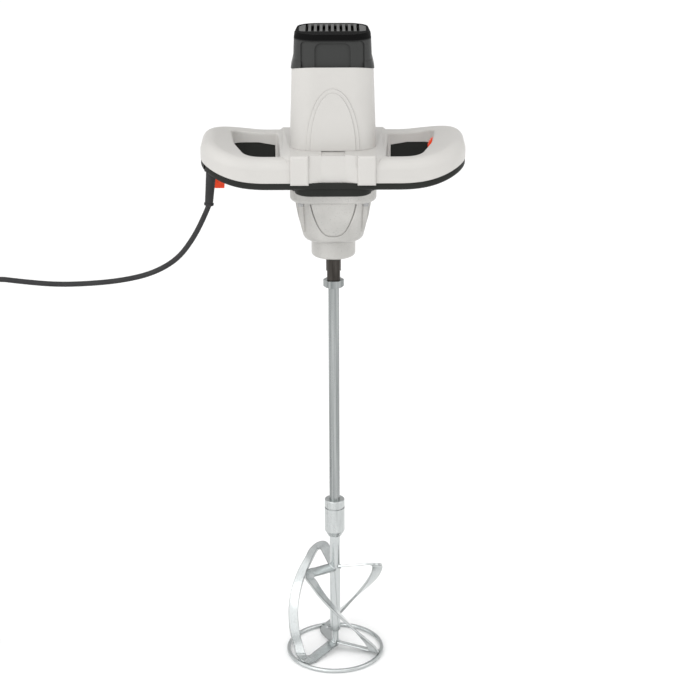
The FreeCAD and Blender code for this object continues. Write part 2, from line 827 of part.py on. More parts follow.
def cooling_fan():
    fan = cylinder(fan_dia / 2, z_fan, z_fan + fan_plate).fuse(
        cylinder(fan_hub_dia / 2, z_fan, z_fan + fan_height))
    for index in range(fan_blades):
        vane = block(fan_blade_inner_dia / 2, fan_dia / 2, -fan_blade_thickness / 2, fan_blade_thickness / 2,
                     z_fan, z_fan + fan_height)
        vane.rotate(V(0, 0, 0), UP, 360 * index / fan_blades)
        fan = fan.fuse(vane)
    fan = fan.common(cylinder(fan_dia / 2, z_fan, z_fan + fan_height))
    return fan.cut(cylinder(armature_dia / 2 + seat_gap, z_fan - overrun,
                            z_fan + fan_height + overrun)).removeSplitter()


def stator():
    pack = tube(stator_dia / 2 - seat_gap, stator_bore / 2, z_stator, z_stator + stator_length)
    heads = [tube(stator_bore / 2 + 2 * coil_head_wall, stator_bore / 2 + coil_head_wall, low,
                  low + coil_head)
             for low in (z_stator - coil_head, z_stator + stator_length)]
    return pack.fuse(heads).removeSplitter()


def lower_motor_bearing():
    return ball_bearing(lower_bearing_dia - 2 * seat_gap, armature_dia + 2 * running_gap, bearing_wall / 2,
                        z_belly, z_belly + plate_thickness)


def upper_motor_bearing():
    return ball_bearing(upper_bearing_dia - 2 * seat_gap, armature_top_dia + 2 * running_gap,
                        bearing_wall / 2, z_upper_bearing, z_upper_bearing + upper_bearing_width)


def brush():
    inner = commutator_dia / 2 + running_gap
    middle = z_commutator + commutator_length / 2
    stick = block(inner, inner + brush_length, -brush_width / 2, brush_width / 2, middle - brush_height / 2,
                  middle + brush_height / 2)
    return stick.cut(cylinder(inner, z_block, z_top))


def brushes():
    return Part.makeCompound([brush(), brush().mirror(V(0, 0, 0), ALONG_X)])


def brush_holder():
    inner = commutator_dia / 2 + 2 * holder_wall
    outer = stator_dia / 2
    middle = z_commutator + commutator_length / 2
    half_width = brush_width / 2 + seat_gap
    half_height = brush_height / 2 + seat_gap
    sleeve = block(inner, outer, -half_width - holder_wall, half_width + holder_wall,
                   middle - half_height - holder_wall, middle + half_height + holder_wall)
    sleeve = sleeve.cut(block(inner - overrun, outer - holder_wall, -half_width, half_width,
                              middle - half_height, middle + half_height))
    return sleeve.common(cylinder(stator_dia / 2 - seat_gap, z_block, z_top))


def brush_holders():
    return Part.makeCompound([brush_holder(), brush_holder().mirror(V(0, 0, 0), ALONG_X)])


# Motor housing and cap

bolt_places = [(sx * bolt_x, sy * bolt_y) for sx in (-1, 1) for sy in (-1, 1)]


def motor_form(extra):
    foot = rounded_rectangle(motor_foot_width + extra, motor_foot_depth + extra, motor_corner + extra / 2,
                             z_block)
    top = rounded_rectangle(motor_top_width + extra, motor_top_depth + extra, motor_corner + extra / 2, z_cap)
    return loft([foot, top])


def arch_prism(width, height):
    """Half of an ellipse standing on the motor housing's foot, as a prism along Y from the front."""
    middle = V(0, -motor_foot_depth, z_block)
    ellipse = Part.Ellipse(middle + UP * height, middle + ALONG_X * (width / 2), middle)
    arch = Part.ArcOfEllipse(ellipse, -math.pi / 2, math.pi / 2)
    base = Part.LineSegment(arch.EndPoint, arch.StartPoint)
    return Part.Face(Part.Wire([arch.toShape(), base.toShape()])).extrude(ALONG_Y * motor_foot_depth)


def below_seam():
    """All that lies under the seam between motor housing and cap, which sags towards the sides' middle."""
    half = motor_top_depth / 2
    x = -motor_foot_width
    front = V(x, -half, z_cap)
    back = V(x, half, z_cap)
    corners = [back, V(x, 2 * half, z_cap), V(x, 2 * half, z_rail), V(x, -2 * half, z_rail),
               V(x, -2 * half, z_cap), front]
    edges = [Part.Arc(front, V(x, 0, z_cap - cap_dip), back)]
    edges += [Part.LineSegment(first, second) for first, second in zip(corners, corners[1:])]
    return Part.Face(Part.Wire([edge.toShape() for edge in edges])).extrude(ALONG_X * (2 * motor_foot_width))


def motor_housing():
    shell = motor_form(0)
    step = arch_prism(arch_width, arch_height).common(motor_form(arch_proud))
    crest = arch_prism(arch_width - 2 * arch_border,
                       arch_height - arch_border).common(motor_form(2 * arch_proud))
    shell = shell.fuse([step, crest]).common(below_seam())
    shell = shell.cut(cylinder(stator_dia / 2, z_stator, z_cap + overrun))
    shell = shell.cut(cylinder(motor_bore / 2, z_block - overrun, z_stator + overrun))
    for x, y in bolt_places:
        shell = shell.cut(cylinder(bolt_dia / 2 + seat_gap, z_block - overrun, z_cap + overrun, x, y))
    return shell.removeSplitter()


shoulder_z = z_top - cap_shoulder
grille_z = z_top - grille_thickness - grille_drop


def cap_form(inset):
    """The cap up to its shoulder, drawn in by an even inset, and reaching below the seam."""
    low = z_cap - cap_dip - overrun
    foot = rounded_rectangle(cap_foot_width - 2 * inset, cap_foot_depth - 2 * inset, motor_corner - inset,
                             z_cap)
    below = rounded_rectangle(cap_foot_width - 2 * inset, cap_foot_depth - 2 * inset, motor_corner - inset,
                              low)
    shoulder = rounded_rectangle(cap_top_width + cap_shoulder - 2 * inset,
                                 cap_top_depth + cap_shoulder - 2 * inset,
                                 cap_corner + cap_shoulder / 2 - inset, shoulder_z - inset)
    return loft([below, foot, shoulder])


def front_field(width, high, corner, depth):
    """Field let into the cap's front to an even depth. Its head has round corners."""
    half = width / 2
    low = z_cap - cap_dip - overrun
    places = ((half, low), (half, high), (-half, high), (-half, low))
    loop = rounded_loop([V(x, -motor_top_depth, z) for x, z in places], overrun / 2, corner, corner,
                        overrun / 2)
    return Part.Face(loop).extrude(ALONG_Y * motor_top_depth).cut(cap_form(depth))


def grille_loop(gap, z):
    half = cap_top_width / 2 - grille_margin - gap
    front = -grille_front + gap
    back = cap_top_depth / 2 - grille_margin - gap
    places = ((half, front), (half, back), (-half, back), (-half, front))
    wide = cap_corner - grille_margin
    return rounded_loop([V(x, y, z) for x, y in places], grille_corner, wide, wide, grille_corner)


def top_cap():
    crown = loft([rounded_rectangle(cap_top_width + cap_shoulder, cap_top_depth + cap_shoulder,
                                    cap_corner + cap_shoulder / 2, shoulder_z),
                  rounded_rectangle(cap_top_width, cap_top_depth, cap_corner, z_top)])
    skirt = loft([rounded_rectangle(motor_top_width + 2 * skirt_flare, motor_top_depth + 2 * skirt_flare,
                                    motor_corner + skirt_flare, z_cap - cap_dip),
                  rounded_rectangle(cap_foot_width, cap_foot_depth, motor_corner, z_cap + skirt_height)])
    cap = cap_form(0).fuse([crown, skirt]).removeSplitter().cut(below_seam())
    cap = cap.cut(front_field(panel_width, shoulder_z - panel_depth, panel_corner, panel_depth))
    cap = cap.cut(front_field(niche_width, shoulder_z - niche_head, niche_corner, niche_depth))
    cap = cap.cut(cap_form(2 * cap_wall).common(block(-motor_top_width, motor_top_width, -motor_top_depth,
                                                      motor_top_depth, z_cap, z_top)))
    cap = cap.cut(cylinder(stator_dia / 2, z_block, z_cap + overrun))
    for x, y in bolt_places:
        cap = cap.fuse(cylinder(boss_dia / 2, z_cap, shoulder_z, x, y))
    bearing_boss = tube(upper_bearing_dia / 2 + 2 * boss_wall, upper_bearing_dia / 2, z_upper_bearing,
                        shoulder_z)
    cap = cap.fuse(bearing_boss).cut(prism(grille_loop(0, grille_z), z_top - grille_z + overrun))
    for x, y in bolt_places:
        cap = cap.cut(cylinder(bolt_dia / 2 + seat_gap, z_cap - cap_dip - overrun,
                               z_top - bolt_end + overrun, x, y))
    window = prism(rounded_rectangle(slot_span(), slot_length, cap_wall, z_cap + skirt_height, 0, slot_y),
                   cap_height)
    window = window.cut(cylinder(upper_bearing_dia / 2 + 2 * boss_wall, z_cap, z_top))
    window = window.cut(block(-cap_top_width, cap_top_width, -spoke_width / 2, spoke_width / 2, z_cap, z_top))
    for x, y in bolt_places:
        window = window.cut(cylinder(boss_dia / 2, z_cap, z_top, x, y))
    return cap.cut(window).removeSplitter()


grille_back = cap_top_depth / 2 - grille_margin
slot_length = grille_front + grille_back - 2 * slot_end
slot_y = (grille_back - grille_front) / 2


def slot_span():
    """Between the middles of the outermost slots."""
    return cap_top_width - 2 * grille_margin - 2 * slot_side - slot_width


def vent_grille():
    plate = prism(grille_loop(seat_gap, grille_z), grille_thickness)
    for index in range(slot_count):
        x = (index / (slot_count - 1) - 0.5) * slot_span()
        slot = rounded_rectangle(slot_width, slot_length, slot_width / 2 - seat_gap, grille_z - overrun, x,
                                 slot_y)
        plate = plate.cut(prism(slot, grille_thickness + 2 * overrun))
    return plate


def case_bolts():
    """Long bolts from under the handle's block, through the motor housing, into the cap."""
    seat = z_seam + bolt_sink
    length = z_top - bolt_end - seat
    return Part.makeCompound([screw(x, y, seat, bolt_head_dia, bolt_head, bolt_dia, length, True)
                              for x, y in bolt_places])


# Handle

rail_screw_x = (block_half + handle_width / 2 - grip_width) / 2
rail_screw_places = ((rail_screw_x, (front_rail_width - handle_depth) / 2),
                     (rail_screw_x, (handle_depth - back_rail_width) / 2))
grip_screw_y = handle_depth / 2 - grip_screw_edge
grip_screw_places = [(handle_width / 2 - grip_screw_inset, sy * grip_screw_y) for sy in (-1, 1)]
handle_screw_places = [(sx * x, y) for sx in (-1, 1) for x, y in (*rail_screw_places, *grip_screw_places)]
gear_screw_places = [(sx * gear_screw_place, sy * gear_screw_place) for sx in (-1, 1) for sy in (-1, 1)]


def grip_wall(y):
    """Where an opening's outer wall stands behind its bend, from the middle of the handle."""
    share = (y - grip_bend_y) / (opening_back - grip_bend_y)
    return handle_width / 2 - grip_width + (grip_width - grip_back_width) * share


def opening_loop(side, grow, z):
    """Hand opening between a grip and the middle block. Both its side walls run outwards to the back."""
    front = opening_front - grow
    back = opening_back + grow
    places = [(rib_front - grow, front), (handle_width / 2 - grip_front_width + grow, front),
              (grip_wall(grip_bend_y) + grow, grip_bend_y), (grip_wall(opening_back) + grow, back),
              (rib_back - grow, back)]
    front_run = handle_width / 2 - grip_front_width - rib_front
    radii = [rib_corner, min(front_corner, front_run * corner_share), grip_bend_radius, back_corner,
             rib_corner]
    return rounded_loop([V(side * x, y, z) for x, y in places], *[radius + grow for radius in radii])


def liner_space(side, gap):
    """Room of the lower shell's wall inside an opening: on every side but the rib's, lower beside the rib."""
    front_y = opening_front - liner_wall - gap
    back_y = opening_back + liner_wall + gap
    low = z_rail - overrun
    outer = side * (grip_wall(opening_back) + liner_wall + gap)
    ring = prism(opening_loop(side, liner_wall + gap, low), z_block - low)
    ring = ring.cut(prism(opening_loop(side, 0, low), z_block - low))
    front = side * (rib_front + rib_corner - gap)
    back = side * (rib_back + rib_corner - gap)
    plan = [V(front, front_y, low), V(outer, front_y, low), V(outer, back_y, low), V(back, back_y, low)]
    high = z_seam + liner_height + gap
    near = side * rib_front
    bend = side * (rib_back + liner_run)
    profile = [V(near, front_y, low), V(outer, front_y, low), V(outer, front_y, high), V(bend, front_y, high),
               V(side * rib_back, front_y, high - liner_drop), V(near, front_y, high - liner_drop)]
    room = ring.common(polygon_prism(plan, UP * (z_block - low)))
    return room.common(polygon_prism(profile, ALONG_Y * (back_y - front_y)))


def grip_channel(side, slab, outer_wall):
    """Hollow of one half of the loop, inside its walls and within a slab."""
    outline = rounded_rectangle(handle_width - 2 * outer_wall, handle_depth - 2 * outer_wall,
                                handle_corner - outer_wall, z_rail)
    inside = prism(outline, z_cap - z_rail).common(slab)
    far = side * handle_width
    near = side * block_half
    half = block(min(near, far), max(near, far), -handle_depth, handle_depth, z_rail, z_cap)
    wall = prism(opening_loop(side, shell_wall, z_rail - overrun), z_cap - z_rail)
    return inside.common(half).cut(wall)


def block_saddle():
    """Raised middle of the handle under the motor: its sides lean out and run apart towards the back."""
    face = handle_depth / 2 - block_inset
    bend = (opening_front + face) / (2 * face)
    low = z_block - block_slope_depth
    sections = []
    for z, front, middle, back in ((z_seam + block_slope_depth, block_front_foot, rib_front, block_back_foot),
                                   (low, block_front_foot, rib_front, block_back_foot),
                                   (z_block, block_front, block_front + (block_back - block_front) * bend,
                                    block_back)):
        right = [V(front, -face, z), V(middle, opening_front, z), V(back, face, z)]
        left = [V(-point.x, point.y, z) for point in reversed(right)]
        sections.append(Part.makePolygon(right + left + right[:1]))
    return loft(sections)


def block_pads():
    face = -handle_depth / 2
    pad = block(pad_inner, pad_outer, face - pad_proud, face + pad_round, z_seam, z_block)
    lip = block(pad_inner, pad_outer, face - pad_proud, face - shell_step, z_seam - pad_lip, z_seam)
    pad = pad.fuse(lip).removeSplitter()
    front = face - pad_proud
    pad = on_both_sides(round_edges(pad, pad_round, lambda box: box.YMax < front + seat_gap))
    return pad.fuse(pad.mirror(V(0, 0, 0), ALONG_Y))


def block_notches():
    """Groove up the middle of the block's front and over its top, and the same at the back."""
    face = -handle_depth / 2
    low = z_seam - overrun
    points = [V(-pad_inner, face - overrun, low), V(pad_inner, face - overrun, low), V(pad_inner, face, low),
              V(notch_half, face + notch_depth, low), V(-notch_half, face + notch_depth, low),
              V(-pad_inner, face, low)]
    notch = polygon_prism(points, UP * (z_cap - low))
    top = block(-notch_half, notch_half, face, face + notch_run, z_block - notch_sink, z_cap)
    notch = notch.fuse(top)
    return notch.fuse(notch.mirror(V(0, 0, 0), ALONG_Y))


def handle_upper_shell():
    outline = rounded_rectangle(handle_width, handle_depth, handle_corner, z_rail)
    shell = prism(outline, z_cap - z_rail).common(climbing_slab(z_seam, z_crest))
    shell = round_bent_edges(shell, outer_round, z_crest, -handle_depth, handle_depth, crest_tilt)
    openings = [prism(opening_loop(side, 0, z_rail), z_cap - z_rail) for side in (-1, 1)]
    shell = shell.cut(openings[0]).cut(openings[1])
    shell = round_bent_edges(shell, inner_round, z_crest, opening_front - seat_gap, opening_back + seat_gap,
                             crest_tilt)
    for side in (-1, 1):
        shell = shell.cut(grip_channel(side, climbing_slab(z_seam - overrun, z_crest - shell_crown),
                                       upper_wall))
    shell = shell.fuse(block_saddle().cut(openings[0]).cut(openings[1]))
    inside = climbing_slab(z_seam, z_crest - 2 * shell_crown)
    for x, y in handle_screw_places:
        shell = shell.fuse(cylinder(boss_radius, z_rail, z_cap, x, y).common(inside))
    for side in (-1, 1):
        shell = shell.cut(liner_space(side, seat_gap))
    shell = shell.cut(block_notches()).fuse(block_pads())
    shell = shell.cut(cylinder(motor_bore / 2, z_seam - overrun, z_block + overrun))
    for x, y in handle_screw_places:
        top = z_rail + rise(x) + handle_screw_sink + handle_screw_length + overrun
        shell = shell.cut(cylinder(handle_screw_dia / 2 + seat_gap, z_rail, top, x, y))
    for x, y in gear_screw_places:
        shell = shell.cut(cylinder(gear_screw_dia / 2 + seat_gap, z_seam - overrun,
                                   gear_screw_end + overrun, x, y))
    for x, y in bolt_places:
        shell = shell.cut(cylinder(bolt_dia / 2 + seat_gap, z_seam - overrun, z_block + overrun, x, y))
        shell = shell.cut(cylinder(bolt_head_dia / 2 + seat_gap, z_seam - overrun, z_seam + bolt_sink, x, y))
    return shell.cut(dial_slot()).removeSplitter()


gear_screw_end = z_flange + gear_screw_length


def handle_lower_shell():
    outline = rounded_rectangle(handle_width - 2 * shell_step, handle_depth - 2 * shell_step,
                                handle_corner - shell_step, z_belly)
    body = prism(outline, z_cap - z_belly)
    shell = body.common(bent_slab(z_rail, z_seam))
    shell = round_bent_edges(shell, lower_outer_round, z_rail, -handle_depth, handle_depth)
    for side in (-1, 1):
        shell = shell.cut(prism(opening_loop(side, 0, z_belly), z_cap - z_belly))
    shell = round_bent_edges(shell, lower_inner_round, z_rail, opening_front - seat_gap,
                             opening_back + seat_gap)
    belly = loft([rounded_rectangle(belly_width - belly_taper, belly_length, belly_corner, z_belly),
                  rounded_rectangle(belly_width, belly_length, belly_corner, z_rail + shell_wall)])
    belly = round_edges(belly, belly_round, lambda box: at_level(box, z_belly))
    shell = shell.fuse(belly)
    for side in (-1, 1):
        shell = shell.cut(grip_channel(side, bent_slab(z_rail + shell_wall, z_seam + overrun), shell_wall))
    floor = bent_slab(z_body, z_rail + shell_wall)
    for side in (-1, 1):
        shell = shell.fuse(liner_space(side, 0).cut(floor))
    inside = bent_slab(z_rail + shell_wall / 2, z_seam)
    for x, y in handle_screw_places:
        shell = shell.fuse(cylinder(boss_radius, z_rail, z_cap, x, y).common(inside))
    seat = cylinder(guard_seat_dia / 2 + shell_wall / 2, z_rail, z_cap, guard_x, guard_y)
    shell = shell.fuse(seat.common(inside).common(body))
    shell = shell.cut(cylinder(plate_dia / 2 + seat_gap, z_belly - overrun, z_seam + overrun))
    for x, y in handle_screw_places:
        head_z = z_rail + rise(x) + handle_screw_sink
        shell = shell.cut(cylinder(handle_screw_dia / 2 + seat_gap, z_belly, z_cap, x, y))
        shell = shell.cut(cylinder(handle_screw_head_dia / 2 + seat_gap, z_belly, head_z, x, y))
    for x, y in gear_screw_places:
        shell = shell.cut(cylinder(gear_screw_dia / 2 + seat_gap, z_belly - overrun, z_seam + overrun, x, y))
    shell = shell.cut(trigger_slot()).cut(dial_slot())
    pin_room = Part.makeCylinder(trigger_pin_dia / 2 + seat_gap, pin_length + 2 * seat_gap,
                                 V(trigger_x - pin_length / 2 - seat_gap, trigger_pin_y, trigger_pin_z),
                                 ALONG_X)
    guard_hole = cylinder(guard_dia / 2 + seat_gap, z_belly, z_cap, guard_x, guard_y)
    guard_pocket = cylinder(guard_seat_dia / 2 + seat_gap, guard_rail + shell_wall, z_cap, guard_x, guard_y)
    return shell.cut(pin_room).cut(guard_hole).cut(guard_pocket).removeSplitter()


def handle_screws():
    return Part.makeCompound([screw(x, y, z_rail + rise(x) + handle_screw_sink, handle_screw_head_dia,
                                    handle_screw_sink, handle_screw_dia, handle_screw_length, True)
                              for x, y in handle_screw_places])


def gearbox_screws():
    return Part.makeCompound([screw(x, y, z_flange, gear_screw_head_dia, gear_screw_head, gear_screw_dia,
                                    gear_screw_length, True) for x, y in gear_screw_places])


# Trigger and switch

trigger_back = trigger_front + trigger_length
trigger_pin_y = trigger_back - trigger_pin_inset
trigger_pin_z = trigger_rail + trigger_pin_lift


def trigger_slot():
    half = trigger_width / 2 + free_gap
    return block(trigger_x - half, trigger_x + half, trigger_front - trigger_nose, trigger_back + free_gap,
                 z_belly, trigger_rail + switch_lift)


def trigger():
    low = trigger_rail - trigger_drop
    high = trigger_rail + trigger_top
    x = trigger_x - trigger_width / 2
    eye = trigger_eye - running_gap
    pin = V(x, trigger_pin_y, trigger_pin_z)
    heel = V(x, trigger_pin_y + eye, trigger_pin_z)
    neck = pin - ALONG_Y * eye
    waist = V(x, neck.y - trigger_nose / 2, high)
    front = V(x, trigger_front, high)
    tip = V(x, trigger_front + trigger_nose / 2, low)
    belly = V(x, trigger_front + trigger_length / 2, low + trigger_nose)
    edges = [Part.LineSegment(front, tip), Part.LineSegment(tip, belly), Part.LineSegment(belly, heel),
             Part.Arc(heel, pin + UP * eye, neck), Part.LineSegment(neck, waist),
             Part.LineSegment(waist, front)]
    lever = Part.Face(Part.Wire([edge.toShape() for edge in edges])).extrude(ALONG_X * trigger_width)
    lever = round_edges(lever, trigger_nose / 3, lambda box: box.ZMax < low + 2 * trigger_nose)
    hole = Part.makeCylinder(trigger_pin_dia / 2 + running_gap, trigger_width + 2 * overrun,
                             pin - ALONG_X * overrun, ALONG_X)
    return lever.cut(hole)


def trigger_pin():
    return Part.makeCylinder(trigger_pin_dia / 2, pin_length,
                             V(trigger_x - pin_length / 2, trigger_pin_y, trigger_pin_z), ALONG_X)


def switch_module():
    low = trigger_rail + switch_lift
    high = low + switch_height
    front = trigger_front - switch_lead
    back = front + switch_length
    case = block(trigger_x - switch_width / 2, trigger_x + switch_width / 2, front, back, low, high)
    case = round_edges(case, boss_wall / 2, lambda box: box.ZMax - box.ZMin > switch_height - seat_gap)
    outer = pin_length / 2
    foot = z_rail + shell_wall + rise(abs(trigger_x) + outer) + seat_gap
    for side in (-1, 1):
        inner = trigger_x + side * (trigger_width / 2 + free_gap)
        edge = trigger_x + side * outer
        ear = block(min(inner, edge), max(inner, edge), back - trigger_eye, trigger_pin_y + trigger_eye,
                    foot, high)
        case = case.fuse(ear)
    case = case.removeSplitter()
    return case.cut(Part.makeCylinder(trigger_pin_dia / 2, pin_length + 2 * overrun,
                                      V(trigger_x - outer - overrun, trigger_pin_y, trigger_pin_z), ALONG_X))


# Speed dial

dial_x = grip_wall(dial_y) + dial_dia / 2 - dial_proud
dial_z = z_crest + rise(dial_x) + dial_y * math.tan(math.radians(crest_tilt)) - dial_drop


def dial_slot():
    half = dial_width / 2 + free_gap
    radius = dial_dia / 2 + free_gap
    return Part.makeCylinder(radius, 2 * half, V(dial_x, dial_y - half, dial_z), ALONG_Y)


def speed_dial():
    wheel = Part.makeCylinder(dial_dia / 2, dial_width, V(dial_x, dial_y - dial_width / 2, dial_z), ALONG_Y)
    for index in range(dial_ribs):
        angle = 2 * math.pi * index / dial_ribs
        x = dial_x + dial_dia / 2 * math.cos(angle)
        z = dial_z + dial_dia / 2 * math.sin(angle)
        wheel = wheel.cut(Part.makeCylinder(dial_rib_depth, dial_width + 2 * overrun,
                                            V(x, dial_y - dial_width / 2 - overrun, z), ALONG_Y))
    pin = Part.makeCylinder(dial_pin_dia / 2, dial_pin_length,
                            V(dial_x, dial_y - dial_pin_length / 2, dial_z), ALONG_Y)
    return wheel.fuse(pin).removeSplitter()


def speed_module():
    near = grip_wall(-dial_y)
    high = z_crest + rise(near) - shell_crown - seat_gap
    case = block(near, near + module_width, dial_y - module_length / 2, dial_y + module_length / 2,
                 high - module_height, high)
    half = dial_width / 2 + free_gap
    well = Part.makeCylinder(dial_dia / 2 + free_gap, 2 * half, V(dial_x, dial_y - half, dial_z), ALONG_Y)
    eye = Part.makeCylinder(dial_pin_dia / 2 + running_gap, dial_pin_length + 2 * free_gap,
                            V(dial_x, dial_y - dial_pin_length / 2 - free_gap, dial_z), ALONG_Y)
    room = upper_wall + seat_gap
    outline = rounded_rectangle(handle_width - 2 * room, handle_depth - 2 * room, handle_corner - room,
                                high - module_height)
    wall = prism(opening_loop(1, shell_wall + seat_gap, high - module_height), module_height)
    return case.cut(wall).cut(well).cut(eye).common(prism(outline, module_height))


# Cord

def cord_guard():
    seat_low = guard_rail + shell_wall + seat_gap
    start = V(guard_x, guard_y, guard_rail)
    aim = (guard_end - start).normalize()
    lip_top = guard_end - aim * guard_lip
    foot = Part.Wire([Part.Circle(start, UP, guard_dia / 2).toShape()])
    end = Part.Wire([Part.Circle(lip_top, aim * -1, guard_end_dia / 2).toShape()])
    sleeve = Part.makeLoft([foot, end], True, True)
    lip = Part.makeCylinder(guard_lip_dia / 2, guard_lip, lip_top, aim)
    lip = lip.makeFillet(guard_lip / 3, lip.Edges[:1])
    seat = cylinder(guard_seat_dia / 2, seat_low, seat_low + guard_seat / 2, guard_x, guard_y)
    neck = cylinder(guard_dia / 2, guard_rail, seat_low, guard_x, guard_y)
    return sleeve.fuse([lip, seat, neck]).removeSplitter()


def cord_path(points):
    """Straight runs joined by arcs as large as their runs allow. Returns the edges and the radii."""
    edges = []
    radii = []
    last = points[0]
    for before, corner, after in zip(points, points[1:], points[2:]):
        back = before - corner
        ahead = after - corner
        shorter = min(back.Length, ahead.Length)
        turn = math.pi - back.getAngle(ahead)
        reach = cord_bend_share * shorter
        radius = reach / math.tan(turn / 2)
        back.normalize()
        ahead.normalize()
        inwards = (back + ahead).normalize()
        centre = corner + inwards * (radius / math.cos(turn / 2))
        start = corner + back * reach
        end = corner + ahead * reach
        edges.append(Part.LineSegment(last, start).toShape())
        edges.append(Part.Arc(start, centre - inwards * radius, end).toShape())
        radii.append(radius)
        last = end
    edges.append(Part.LineSegment(last, points[-1]).toShape())
    return edges, radii


def sweep(edges, dia):
    path = Part.Wire(edges)
    first = edges[0]
    start = first.valueAt(first.FirstParameter)
    aim = first.tangentAt(first.FirstParameter)
    ring = Part.Wire([Part.Circle(start, aim, dia / 2).toShape()])
    return path.makePipeShell([ring], True, False)


def cord_lead():
    edges, radii = cord_path(cord_route)
    print("cord radii", [round(radius) for radius in radii])
    length = sum(edge.Length for edge in edges)
    lead = sweep(edges, cord_dia)
    print("cord length", round(length), "volume share",
          round(lead.Volume / (math.pi * cord_dia ** 2 / 4 * length), 4))
    return lead


def coil_arc(centre, radius, start, z):
    """Quarter turn, counter-clockwise from start, in degrees."""
    points = [V(centre.x + radius * math.cos(math.radians(start + turn)),
                centre.y + radius * math.sin(math.radians(start + turn)), z) for turn in (0, 45, 90)]
    return Part.Arc(*points).toShape()


def coil_edges():
    """Spiral in on the floor, climb a layer in a half turn, spiral out again. Starts and ends straight."""
    quarter_step = coil_step / 4
    centre = V(coil_x, coil_y, 0)
    radius = coil_radius
    heading = 0
    edges = [Part.LineSegment(V(coil_x + coil_radius, coil_y, coil_z),
                              V(coil_x + coil_radius, coil_y + cord_dia, coil_z)).toShape()]
    centre = centre + ALONG_Y * cord_dia
    for _ in range(coil_quarters):
        edges.append(coil_arc(centre, radius, heading, coil_z))
        heading += 90
        outwards = V(math.cos(math.radians(heading)), math.sin(math.radians(heading)), 0)
        centre = centre + outwards * quarter_step
        radius -= quarter_step
    outwards = V(math.cos(math.radians(heading)), math.sin(math.radians(heading)), 0)
    onwards = V(-outwards.y, outwards.x, 0)
    start = centre + outwards * radius + UP * coil_z
    climb_radius = radius - coil_climb_inset
    lean = math.asin(coil_layer / (2 * climb_radius))
    inwards = outwards * -math.cos(lean) + UP * math.sin(lean)
    middle = start + inwards * climb_radius
    end = start + inwards * (2 * climb_radius)
    edges.append(Part.Arc(start, middle + onwards * climb_radius, end).toShape())
    heading += 180
    radius = climb_radius + quarter_step
    flat_end = V(end.x, end.y, 0)
    upper = coil_z + coil_layer
    outwards = outwards * -1
    centre = flat_end - outwards * radius
    for _ in range(coil_quarters):
        edges.append(coil_arc(centre, radius, heading, upper))
        heading += 90
        outwards = V(math.cos(math.radians(heading)), math.sin(math.radians(heading)), 0)
        centre = centre - outwards * quarter_step
        radius += quarter_step
    last = edges[-1]
    tip = last.valueAt(last.LastParameter)
    aim = last.tangentAt(last.LastParameter)
    edges.append(Part.LineSegment(tip, tip + aim * cord_dia).toShape())
    return edges


def coil_points(edges, spacing):
    points = []
    for edge in edges:
        count = max(2, int(edge.Length / spacing))
        points += edge.discretize(count)[:-1]
    return points


def cord_coil():
    edges = coil_edges()
    points = coil_points(edges, cord_dia / 2)
    nearest = min((a - b).Length for i, a in enumerate(points) for b in points[i + 8:])
    print("coil length", round(sum(edge.Length for edge in edges)), "least gap", round(nearest - cord_dia, 2))
    return sweep(edges, cord_dia)


def coil_end():
    last = coil_edges()[-1]
    return last.valueAt(last.LastParameter), last.tangentAt(last.LastParameter)


def cord_tie():
    """A flat strap round the coil's turns, on the side away from the climb."""
    near_tie = [p for p in coil_points(coil_edges(), cord_dia / 4)
                if abs(p.x - coil_x) < tie_width and p.y > coil_y]
    low_y = min(p.y for p in near_tie) - cord_dia / 2 - tie_gap
    high_y = max(p.y for p in near_tie) + cord_dia / 2 + tie_gap
    low_z = coil_z - cord_dia / 2 - tie_gap
    high_z = coil_z + coil_layer + cord_dia / 2 + tie_gap
    half = tie_width / 2
    hole = block(coil_x - half - overrun, coil_x + half + overrun, low_y, high_y, low_z, high_z)
    strap = block(coil_x - half, coil_x + half, low_y - tie_thickness, high_y + tie_thickness,
                  low_z - tie_thickness, high_z + tie_thickness)
    strap = round_edges(strap, tie_thickness, lambda box: box.XMax - box.XMin > tie_width - tie_gap)
    return strap.cut(hole)


def cord_tail():
    tip, aim = coil_end()
    return Part.makeCylinder(cord_dia / 2, tail_length, tip, aim)


def plug_frame():
    tip, aim = coil_end()
    return tip + aim * tail_length, aim


def plug_body():
    base, aim = plug_frame()
    side = aim.cross(UP).normalize()
    height = 2 * base.z
    sections = []
    for along, width, tall, corner in ((0, plug_neck_dia, plug_neck_dia, plug_corner / 2),
                                       (plug_neck, plug_neck_dia + cord_dia, plug_neck_dia + cord_dia / 2,
                                        plug_corner / 2),
                                       (plug_neck + plug_length / 2, plug_width, height, plug_corner),
                                       (plug_neck + plug_length, plug_width, height, plug_corner)):
        middle = base + aim * along
        points = [middle + side * (sx * width / 2) + UP * (sz * tall / 2)
                  for sx, sz in ((-1, -1), (1, -1), (1, 1), (-1, 1))]
        sections.append(rounded_loop(points, corner))
    return loft(sections)


def plug_pins():
    base, aim = plug_frame()
    face = base + aim * (plug_neck + plug_length)
    side = aim.cross(UP).normalize()
    pins = []
    for place in (-1, 1):
        pin = Part.makeCylinder(pin_dia / 2, pin_reach, face + side * (place * pin_spacing / 2), aim)
        pins.append(pin)
    return Part.makeCompound(pins)


